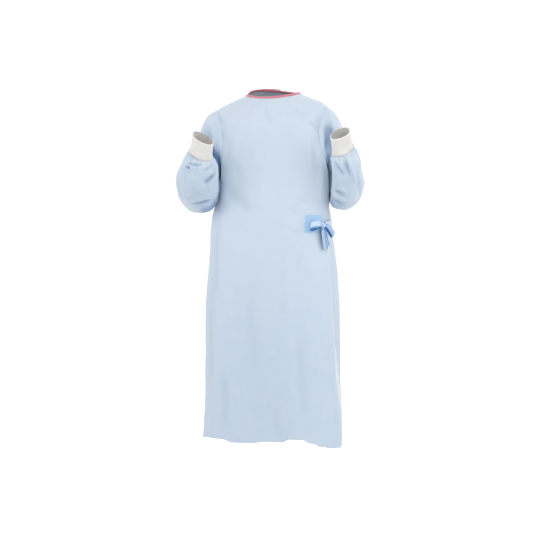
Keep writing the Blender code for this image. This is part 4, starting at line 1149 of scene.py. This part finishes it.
def knit_material():
    """White ribbed knit: rows of small V loops on every rib."""
    made, tree, shader, relief = new_material("white_rib_knit", 0.5, 0.0003, {
        "Specular IOR Level": 0.2, "Sheen Weight": 0.25, "Subsurface Weight": 0.1,
        "Subsurface Radius": (0.004, 0.004, 0.004)})
    place = add_node(tree, "ShaderNodeTexCoord", {})
    flat = add_node(tree, "ShaderNodeSeparateXYZ", {0: place["UV"]})
    wale = maths(tree, "FRACT", maths(tree, "MULTIPLY", flat[0], 1.0 / WALE_PITCH))
    leg = maths(tree, "ABSOLUTE", maths(tree, "SUBTRACT", wale, 0.5))
    course = maths(tree, "MULTIPLY_ADD", flat[1], 1.0 / COURSE_PITCH, leg)
    loop = maths(tree, "SINE", maths(tree, "MULTIPLY", course, 2.0 * math.pi))
    valley = maths(tree, "COSINE", maths(tree, "MULTIPLY", leg, 2.0 * math.pi))
    fuzz = noise(tree, place["Object"], 900.0, 3.0)
    height = maths(tree, "MULTIPLY_ADD", loop, 0.35, maths(tree, "MULTIPLY", valley, -0.45))
    height = maths(tree, "MULTIPLY_ADD", fuzz, 0.4, height)
    cloudy = noise(tree, place["Object"], 60.0, 3.0)
    # The colour darkens at random and, as painted shade, in the low parts of the loops.
    shade = maths(tree, "MULTIPLY_ADD", height, -0.25, maths(tree, "MULTIPLY", cloudy, 0.7))
    colour = mixed(tree, shade, (0.88, 0.868, 0.850, 1.0), (0.78, 0.77, 0.755, 1.0))
    tree.links.new(height, relief)
    tree.links.new(colour, shader["Base Color"])
    tree.links.new(maths(tree, "MULTIPLY_ADD", fuzz, 0.1, 0.82), shader["Roughness"])
    return made


def thread_material(name, colour, dark):
    """Spun thread, twisted in fine plies."""
    made, tree, shader, relief = new_material(name, 0.4, 0.0001, {
        "Roughness": 0.6, "Sheen Weight": 0.2})
    plies = noise(tree, add_node(tree, "ShaderNodeTexCoord", {})["Object"], 2600.0, 2.0)
    tree.links.new(mixed(tree, plies, colour + (1.0,), dark + (1.0,)), shader["Base Color"])
    tree.links.new(plies, relief)
    return made


RIB_KNIT = knit_material()
WHITE_THREAD = thread_material("white_thread", (0.88, 0.89, 0.90), (0.74, 0.76, 0.79))


def knit_cuff(side_name, rings, side):
    """One cuff, its overlocked edge and the stitches of that edge."""
    rings = np.pad(rings, ((0, 0), (0, 2)))
    count = CUFF_RIBS * COLUMNS_PER_RIB
    turns = np.arange(count) * 360.0 / count
    grid = arm_points(through(rings, CUFF_STEPS), turns, side)
    if side > 0:
        grid = grid[:, ::-1]
    normal = grid_normals(grid, closed=True)
    _, down = grid_lengths(grid)
    to_free = down[-1:] - down
    slack = ripple(grid, 0.05, 71) * CUFF_SLACK * smooth(to_free, 0.0, 0.02)
    turned_in = -CUFF_EDGE_TURN * np.exp(-(to_free / 0.0016) ** 2)
    puckers = PUCKER_HEIGHT * np.cos(np.radians(turns) * CUFF_PUCKERS) * np.exp(-down / 0.008)
    grid = grid + normal * (slack + turned_in + puckers)[..., None]
    fade = smooth(to_free, 0.0008, 0.004) * (0.5 + 0.5 * smooth(down, 0.0, 0.006))
    turn = np.broadcast_to(np.arange(count) / count, fade.shape)
    cuff = cloth_sheet(f"gown_cuff_{side_name}", grid, True, turn=turn, fade=fade)
    run_tree(cuff, KNIT_RIBS, {"Material": RIB_KNIT})
    add_wall(cuff, CUFF_WALL)
    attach(cuff, "root")
    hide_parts(f"cuff_{side_name}")

    band_turns = np.arange(OVERLOCK_COLUMNS) * 360.0 / OVERLOCK_COLUMNS
    crook = through(rings, np.linspace(0, 3, 40))[:, 4:6]
    length = np.linalg.norm(np.diff(crook, axis=0), axis=1).sum()
    band_steps = np.linspace(-0.0004, OVERLOCK_WIDTH, OVERLOCK_ROWS) / length * 3.0
    band = arm_points(through(rings, np.maximum(band_steps, 0.0)), band_turns, side)
    if side > 0:
        band = band[:, ::-1]
    out = grid_normals(band, closed=True)
    across = np.linspace(-1.0, 1.0, OVERLOCK_ROWS)[:, None]
    frill = np.cos(np.radians(band_turns) * OVERLOCK_FRILLS + 2.0 * across) * 0.0002
    bulge = OVERLOCK_BULGE * (1.0 - across ** 2)
    band = band + out * (OVERLOCK_LIFT + bulge + frill)[..., None]
    middle = band[OVERLOCK_ROWS // 2]
    middle_out = out[OVERLOCK_ROWS // 2]
    edge = cloth_sheet(f"gown_cuff_edge_{side_name}", band, True)
    add_wall(edge, OVERLOCK_WALL)
    add_piece(edge, "rib_knit", RIB_KNIT)
    stitches = stitch_row(
        f"gown_cuff_overlock_{side_name}", middle + middle_out * 0.0006, middle_out, WHITE_THREAD,
        "rib_knit", OVERLOCK_PITCH, OVERLOCK_STITCH, closed=True)


knit_cuff("left", LEFT_CUFF, 1)
knit_cuff("right", RIGHT_CUFF, -1)


# ================================================================== neck binding
# Pink tape folded over the raw neck edge from one end of the wrap to the
# other and sewn down with a row of lock stitches near its lower edge.
BINDING_DEPTH = 0.0095
BINDING_WALL = 0.0005
BINDING_ENDS = (196.0, -195.0)
BINDING_COLUMNS = 420
BINDING_FACE_ROWS = 7
BINDING_FOLD_ROWS = 9
BINDING_GAP = 0.0001         # between the tape and the cloth
BINDING_BACK_SHARE = 0.92    # how deep the inner face is beside the outer one
BINDING_PUCKERS = (47, 61, 83)
BINDING_STITCH_PITCH = 0.0031


def make_weave_group():
    group, given, out = node_group("tape_weave", "ShaderNodeTree", [
        ("Colour", "Color", (0.7, 0.2, 0.3, 1.0)), ("Deep Colour", "Color", (0.5, 0.15, 0.2, 1.0)),
        ("Thread Pitch", "Float", 0.0006)], SURFACE_OUTPUTS)
    place = add_node(group, "ShaderNodeTexCoord", {})
    flat = add_node(group, "ShaderNodeSeparateXYZ", {0: place["UV"]})
    warp = maths(group, "DIVIDE", flat[0], given["Thread Pitch"])
    weft = maths(group, "DIVIDE", flat[1], given["Thread Pitch"])
    over = maths(group, "SINE", maths(group, "MULTIPLY", warp, math.pi))
    under = maths(group, "SINE", maths(group, "MULTIPLY", weft, math.pi))
    woven = maths(group, "ABSOLUTE", maths(group, "MULTIPLY", over, under))
    fuzz = noise(group, place["Object"], 1400.0, 3.0)
    worn = noise(group, place["Object"], 70.0, 3.0)
    height = maths(group, "MULTIPLY_ADD", woven, 0.7, maths(group, "MULTIPLY", fuzz, 0.4))
    # The colour varies at random and darkens, as painted shade, in the low parts of the weave.
    shade = maths(group, "MULTIPLY_ADD", worn, 0.9, maths(group, "MULTIPLY", height, -0.3))
    group.links.new(mixed(group, shade, given["Colour"], given["Deep Colour"]), out["Colour"])
    group.links.new(height, out["Height"])
    group.links.new(maths(group, "MULTIPLY_ADD", fuzz, 0.15, 0.68), out["Roughness"])
    return group


WEAVE = make_weave_group()


def tape_material(name, colour, deep_colour, pitch, bump):
    """Woven tape in a colour."""
    made, tree, shader, relief = new_material(name, bump, 0.0003, {
        "Specular IOR Level": 0.3, "Sheen Weight": 0.2})
    weave = add_node(tree, "ShaderNodeGroup", {
        "Colour": colour + (1.0,), "Deep Colour": deep_colour + (1.0,), "Thread Pitch": pitch},
                     node_tree=WEAVE)
    tree.links.new(weave["Colour"], shader["Base Color"])
    tree.links.new(weave["Roughness"], shader["Roughness"])
    tree.links.new(weave["Height"], relief)
    return made


PINK_TAPE = tape_material("pink_tape", (0.78, 0.270, 0.325), (0.66, 0.200, 0.255), 0.0007, 0.4)
PINK_THREAD = thread_material("pink_thread", (0.70, 0.24, 0.30), (0.50, 0.13, 0.18))


def laid_on_body(angle, row, lift):
    """Points on the outermost cloth of the body, lifted off it."""
    wrapped = np.where(angle < -SIDE_SEAM, outer_stand_off(angle, row), 0.0)
    return body_surface(angle, row, wrapped + lift)


def neck_binding():
    angles = np.linspace(*BINDING_ENDS, BINDING_COLUMNS)[None]
    top = laid_on_body(angles, 0.0, 0.0)
    drop = unit(laid_on_body(angles, 0.9, 0.0) - top)
    out = body_normal(angles, np.zeros_like(angles))
    reach = CLOTH_WALL / 2.0 + BINDING_GAP + BINDING_WALL / 2.0
    turn = np.radians(np.linspace(0.0, 180.0, BINDING_FOLD_ROWS))
    face = np.full(BINDING_FACE_ROWS, reach)
    offs = np.concatenate([face, reach * np.cos(turn), -face])
    back_depth = BINDING_DEPTH * BINDING_BACK_SHARE
    drops = np.concatenate([np.linspace(BINDING_DEPTH, 0.0012, BINDING_FACE_ROWS),
                            -reach * np.sin(turn),
                            np.linspace(0.0012, back_depth, BINDING_FACE_ROWS)])
    grid = top + drop * drops[:, None, None] + out * offs[:, None, None]
    chance = np.random.default_rng(19)
    pucker = np.zeros(angles.shape)
    for waves in BINDING_PUCKERS:
        pucker += np.cos(np.radians(angles) * waves + chance.uniform(0, 6.28)) / 3.0
    low = smooth(drops, 0.004, BINDING_DEPTH)[:, None]
    loose = (smooth(drops, 0.0, 0.004) * np.sign(offs))[:, None] * (0.3 + 0.7 * low)
    grid = grid + out * (loose * (pucker * 0.00028 + 0.0002))[..., None]
    grid = grid + drop * (low * 0.0004 * pucker)[..., None]
    binding = cloth_sheet("gown_neck_binding", grid[::-1])
    add_wall(binding, BINDING_WALL)
    add_piece(binding, "pink_tape", PINK_TAPE, "neck_binding")
    stitches = stitch_row("gown_neck_stitches", grid[1] + out[0] * 0.0003, out[0], PINK_THREAD,
                          "pink_tape", BINDING_STITCH_PITCH,
                          {"Thread Radius": 0.00021, "Seed": 8})


neck_binding()


# ================================================================== neck tab
# A short strip of hook-and-loop tape at the nape that holds the outer flap
# closed on the inner one, box-stitched round its edge.
TAB_ANGLES = (-190.0, -162.0)
TAB_ROWS = (0.75, 1.60)
TAB_LIFT = CLOTH_WALL / 2.0 + 0.0004
TAB_WALL = 0.0012
BORDER_STEPS = 39            # along each side of a path of stitches
TAB_INSET = 0.09             # of the stitches, as a share of the tab
TAB_STITCH = (0.0030, {"Stitch Length": 0.0024, "Seed": 9})    # pitch and looks
HOOK_TAPE = tape_material("hook_tape", (0.74, 0.78, 0.82), (0.55, 0.61, 0.68), 0.0011, 0.9)


def laid_patch(angles, span, lift, size, corner):
    """A small flat piece laid on the body, with corners rounded a little."""
    u, v = np.meshgrid(np.linspace(-1.0, 1.0, size[0]), np.linspace(-1.0, 1.0, size[1]))
    angle = np.interp(u * (1.0 - corner * np.abs(v) ** 14), (-1.0, 1.0), angles)
    row = np.interp(v * (1.0 - corner * np.abs(u) ** 14), (-1.0, 1.0), span)
    return angle, row, laid_on_body(angle, row, lift)


def border_path(inset, *tables):
    """Values of tables of a laid piece along a closed path inside its border."""
    t = np.linspace(0.0, 1.0, BORDER_STEPS + 1)[:-1]
    low = np.zeros(BORDER_STEPS)
    last_row, last_column = np.array(tables[0].shape) - 1
    span = 1.0 - 2.0 * inset
    r = last_row * (inset + span * np.concatenate([low, t, low + 1.0, 1.0 - t]))
    c = last_column * (inset + span * np.concatenate([t, low + 1.0, 1.0 - t, low]))
    i = np.minimum(r.astype(int), last_row - 1)
    j = np.minimum(c.astype(int), last_column - 1)
    a = r - i
    b = c - j
    return [(table[i, j] * (1.0 - b) + table[i, j + 1] * b) * (1.0 - a)
            + (table[i + 1, j] * (1.0 - b) + table[i + 1, j + 1] * b) * a for table in tables]


def sew_on(node, grid, wall, slot, paint, thread, border, lift, stitch):
    """A laid piece, and the stitches that follow its border."""
    patch = cloth_sheet("gown_" + node, grid)
    add_wall(patch, wall)
    add_piece(patch, slot, paint, node)
    stitches = stitch_row(f"gown_{node}_stitches", laid_on_body(*border, lift),
                          body_normal(*border), thread, slot, *stitch, closed=True)


tab_angle, tab_row, tab_grid = laid_patch(TAB_ANGLES, TAB_ROWS, TAB_LIFT + TAB_WALL / 2.0,
                                          (60, 30), 0.05)
sew_on("neck_tab", tab_grid, TAB_WALL, "hook_tape", HOOK_TAPE, WHITE_THREAD,
       border_path(TAB_INSET, tab_angle, tab_row), TAB_LIFT + TAB_WALL + 0.0001, TAB_STITCH)


# ================================================================== tie patch
# A square of light blue non-woven cloth sewn on at the wearer's left of the
# front, to carry the pull of the short belt tie.
PATCH_ANGLES = (29.5, 55.5)
PATCH_HEIGHTS = (-0.446, -0.512)
PATCH_LIFT = CLOTH_WALL / 2.0 + 0.0005
PATCH_WALL = 0.0008
PATCH_INSET = 0.065
PATCH_STITCH = (0.0032, {"Stitch Length": 0.0026, "Thread Radius": 0.00022, "Seed": 12})
LIGHT_BLUE = felt_material("light_blue_patch", (0.455, 0.670, 0.905), (0.405, 0.625, 0.875),
                           (0.200, 0.420, 0.720))
BLUE_THREAD = thread_material("blue_thread", (0.40, 0.60, 0.82), (0.28, 0.47, 0.70))


def row_at(z):
    """Fractional rows of the body below the armholes at heights z."""
    return np.interp(-np.asarray(z, float), -BODY[UNDERARM_ROW:, 5],
                     np.arange(UNDERARM_ROW, HEM_ROW + 1))


patch_angle, patch_row, patch_grid = laid_patch(PATCH_ANGLES, row_at(PATCH_HEIGHTS),
                                                PATCH_LIFT + PATCH_WALL / 2.0, (64, 64), 0.03)
across, down = grid_lengths(patch_grid)
from_edge = np.minimum(np.minimum(across, across[:, -1:] - across),
                       np.minimum(down, down[-1:] - down))
sewn = np.exp(-((from_edge - 0.004) / 0.0012) ** 2)
puff = (0.0008 * smooth(from_edge, 0.0, 0.006) - 0.0004 * sewn
        + 0.0004 * ripple(patch_grid, 0.03, 61))
sew_on("tie_patch", patch_grid + grid_normals(patch_grid) * puff[..., None], PATCH_WALL,
       "blue_tie", LIGHT_BLUE, BLUE_THREAD, border_path(PATCH_INSET, patch_angle, patch_row),
       PATCH_LIFT + PATCH_WALL + 0.0006, PATCH_STITCH)


# ================================================================== belt ties
# Two flat ties of the patch's cloth, folded in three and sewn along one edge.
# The long one starts on the free edge of the outer back panel, the short one
# on the patch, and both end in the knot.
# The ties' cloth in two painted copies: a lit copy, paler than the patch, and a copy in painted
# shade for the other face of each tie.
TIE_PAINTED_LIT = felt_material("tie_painted_lit", (0.700, 0.810, 0.930), (0.620, 0.750, 0.900),
                         (0.150, 0.340, 0.640))
TIE_PAINTED_SHADE = felt_material("tie_painted_shade", (0.130, 0.330, 0.640), (0.100, 0.280, 0.580),
                         (0.060, 0.170, 0.400))
TIE_WALL = 0.0009
TIE_HALF_WIDTH = 0.0125
TIE_COLUMNS = 13
PLEAT_HEIGHT = 0.0026        # where a tie is drawn together
# painted shade in the pleats
PLEAT_SHADE = 0.9
TIE_SEAM = 0.72              # where the seam lies, from -1 to 1 across
TIE_SEAM_DEPTH = 0.0005
# painted shade along one edge of each tie, the one turned down or back
UNDERSIDE_SHADE = 0.85
BELT_HALF_WIDTH = 0.013
BELT_BACK_START = 8.0        # degrees behind the free edge, where it is sewn on
BELT_FRONT_ANGLE = 44.0
BELT_Z = -0.476
BELT_BACK_STEPS = 90
BELT_FRONT_STEPS = 40
BELT_LIFT = CLOTH_WALL / 2.0 + 0.0020
KNOT_ANGLE = 53.5
KNOT_Z = -0.483
UPWARD = np.array([0.0, 0.0, 1.0])


def tie_ribbon(node, line, half_vectors, flip=False,
               deep=0.0):
    """A flat tie along a line, pleated where it is drawn narrower than it is.

    Deep is the painted shade laid all over it, for how much the layers round it keep the light
    away.
    """
    out = unit(np.cross(np.gradient(line, axis=0), half_vectors))
    share = np.linspace(-1.0, 1.0, TIE_COLUMNS)
    half = np.linalg.norm(half_vectors, axis=1)
    narrow = np.clip(1.0 - half / TIE_HALF_WIDTH, 0.0, 1.0)[:, None]
    folds = np.cos(share * math.pi * 1.5) * (PLEAT_HEIGHT * narrow)
    seam = -TIE_SEAM_DEPTH * np.exp(-((share - TIE_SEAM) / 0.10) ** 2)
    grid = line[:, None] + half_vectors[:, None] * share[:, None]
    uneven = ripple(grid, 0.022, 83) * 0.0004
    grid = grid + out[:, None] * (folds + seam + uneven)[..., None]
    # Painted shade in the pleats, all over the tie and along its lower edge.
    shade = PLEAT_SHADE * narrow * smooth(-folds, -0.0004, 0.0014)
    shade = shade + deep + UNDERSIDE_SHADE * smooth(-share, 0.25, 0.85)
    order = -1 if flip else 1
    tie = cloth_sheet("gown_" + node, grid[:, ::order], shade=shade[:, ::order])
    wall = add_wall(tie, TIE_WALL)
    wall.material_offset = 1
    wall.material_offset_rim = 0
    # One face in the lit copy, the other in the copy with painted shade.
    add_piece(tie, "blue_tie", TIE_PAINTED_LIT, node)
    tie.data.materials.append(TIE_PAINTED_SHADE)


def plain_cloth(angle, row, lift):
    """Points off the body's cloth with its lengthwise folds but no creases."""
    base = plain_body(angle, row)
    normal = body_normal(angle, row)
    return base + normal * (length_folds(angle, base[..., 2]) + lift)[..., None]


def long_belt():
    start_row = row_at(BELT_Z)
    edge = wrap_value(start_row, 1)
    share = np.linspace(0.0, 1.0, BELT_BACK_STEPS)
    start = edge + BELT_BACK_START
    angle = start + (KNOT_ANGLE + 3.25 - start) * share
    on_panel = outer_stand_off(edge - 360.0, start_row) + 0.0021
    lift = BELT_LIFT + on_panel * smooth(angle, edge - 12.0, edge - 1.0)
    lift = lift + 0.0052 * (1.0 - smooth(angle, KNOT_ANGLE + 4.0, KNOT_ANGLE + 16.0))
    line = plain_cloth(angle, row_at(BELT_Z + (KNOT_Z - BELT_Z) * share), lift)
    half = BELT_HALF_WIDTH * (1.0 - 0.45 * smooth(share, 0.75, 1.0))
    tie_ribbon("belt_back", line, np.outer(half, UPWARD),
               flip=True)


def short_belt():
    share = np.linspace(0.0, 1.0, BELT_FRONT_STEPS)
    angle = BELT_FRONT_ANGLE + (KNOT_ANGLE - 3.15 - BELT_FRONT_ANGLE) * share
    lift = BELT_LIFT + 0.0002 + PATCH_WALL + 0.0035 * smooth(share, 0.4, 1.0)
    line = plain_cloth(angle, row_at(KNOT_Z), lift)
    half = BELT_HALF_WIDTH * (1.0 - 0.6 * smooth(share, 0.3, 1.0))
    tie_ribbon("belt_front", line, np.outer(half, UPWARD))


long_belt()
short_belt()


# ================================================================== bow
# The belt ties meet in a bow at the wearer's left: a soft knot, two loops and
# two hanging ends. Stations run front, out and up from the knot, then half
# width in millimetres and lean in degrees.
LOOP_FRONT = np.array([
    (9.9, 2.6, 0.5, 5.5, 0), (22, 6.0, 2.5, 9.5, -2), (38, 6.5, 3.0, 12, -5),
    (53, 3.0, 1.5, 12.5, -10), (62, -3.0, -3.0, 12, -16), (56, -7.0, -9.0, 11.5, -14),
    (40, -5.5, -9.5, 10.5, -10), (24, -3.4, -6.0, 8.0, -4), (9.9, -1.6, -2.5, 4.5, 0)])
LOOP_BACK = np.array([
    (-10.1, 2.4, 0.5, 5.0, -4), (-20, 6.0, -4.0, 8.5, -26), (-33, 8.5, -15, 10.5, -34),
    (-45, 8.0, -27, 11, -38), (-53, 4.5, -36, 10.5, -42), (-45, 2.0, -31, 10.5, -40),
    (-31, 1.2, -19, 9.5, -36), (-19, 0.8, -9.0, 7.0, -28), (-10.1, 0.2, -4.0, 4.0, -5)])
END_FRONT = np.array([
    (3.6, 2.6, -8.8, 5.0, 92), (3.0, 3.8, -26, 9.0, 95), (-2.0, 3.4, -46, 10.5, 99),
    (-8.0, 2.4, -66, 11, 102), (-14.0, 1.8, -84, 11.5, 104)])
END_BACK = np.array([
    (-3.4, -1.6, -8.8, 5.0, 96), (-11.0, -1.6, -26, 8.0, 104), (-17.0, -1.4, -43, 9.5, 108),
    (-23.0, -1.2, -60, 10.5, 110), (-28.0, -1.0, -74, 11.0, 112)])
KNOT_STAND_OFF = 0.0112
KNOT_HALF = (9.5, 7.5, 8.5)  # front, out and up, in millimetres
KNOT_ROUND = 48
KNOT_LEVELS = 28
KNOT_SQUARENESS = 0.75
KNOT_WRAP = 0.07             # how deep the tie's turns show round the knot

knot_row = row_at(KNOT_Z)
knot_place = plain_cloth(KNOT_ANGLE, knot_row, KNOT_STAND_OFF)
knot_out = unit(body_normal(KNOT_ANGLE, knot_row) * (1.0, 1.0, 0.0))
knot_front = np.array([knot_out[1], -knot_out[0], 0.0])
KNOT_AXES = np.stack([knot_front, knot_out, UPWARD])


def in_bow(front, out, up):
    """Points beside the knot, given in millimetres."""
    return knot_place + np.stack([front, out, up], -1) / 1000.0 @ KNOT_AXES


def bow_ribbon(node, stations, count, deep, flip=True):
    table = through(stations, np.linspace(0.0, len(stations) - 1.0, count))
    front, out, up, half, lean = table.T
    a = np.radians(lean)
    vectors = np.outer(np.sin(a), knot_front) + np.outer(np.cos(a), UPWARD)
    tie_ribbon(node, in_bow(front, out, up), vectors * half[:, None] / 1000.0,
               flip, deep)


def bow_knot():
    lat = np.linspace(0.02, math.pi - 0.02, KNOT_LEVELS)[:, None]
    lon = np.radians(np.arange(KNOT_ROUND) * 360.0 / KNOT_ROUND)[None]
    wide = np.sin(lat) ** KNOT_SQUARENESS
    front = power(np.cos(lon), KNOT_SQUARENESS) * wide
    out = power(np.sin(lon), KNOT_SQUARENESS) * wide
    up = power(np.cos(lat), KNOT_SQUARENESS) * np.ones_like(lon)
    wrap = 1.0 + KNOT_WRAP * np.cos(front * 9.0 + up * 1.6 + 0.5)
    points = in_bow(front * KNOT_HALF[0] * wrap, out * KNOT_HALF[1] * wrap, up * KNOT_HALF[2])
    ends = in_bow(np.zeros(2), np.zeros(2), np.array([1.0, -1.0]) * KNOT_HALF[2])
    points = np.concatenate([points.reshape(-1, 3), ends])
    steps = [(c, (c + 1) % KNOT_ROUND) for c in range(KNOT_ROUND)]
    top = KNOT_LEVELS * KNOT_ROUND
    base = top - KNOT_ROUND
    faces = [(r + c, r + KNOT_ROUND + c, r + KNOT_ROUND + after, r + after)
             for r in range(0, base, KNOT_ROUND) for c, after in steps]
    faces += [(top, c, after) for c, after in steps]
    faces += [(top + 1, base + after, base + c) for c, after in steps]
    corners = points[[corner for face in faces for corner in face]]
    uv = np.stack([corners @ knot_front, corners[:, 2]], -1)
    knot = add_mesh("gown_bow_knot", points, faces, uv)
    # Painted shade in the grooves between the tie's turns round the knot, and at its two ends.
    shade = 0.8 * smooth(1.0 - wrap, 0.0, KNOT_WRAP)
    point_layer(knot, "shade", np.append(shade.ravel(), (0.4, 0.4)))
    add_piece(knot, "blue_tie", TIE_PAINTED_LIT, "bow_knot")
    return knot


knot = bow_knot()
bow_ribbon("bow_loop_front", LOOP_FRONT, 90, 0.12)
bow_ribbon("bow_loop_back", LOOP_BACK, 90, 0.50, flip=False)
bow_ribbon("bow_end_front", END_FRONT, 60, 0.40)
bow_ribbon("bow_end_back", END_BACK, 54, 0.42)
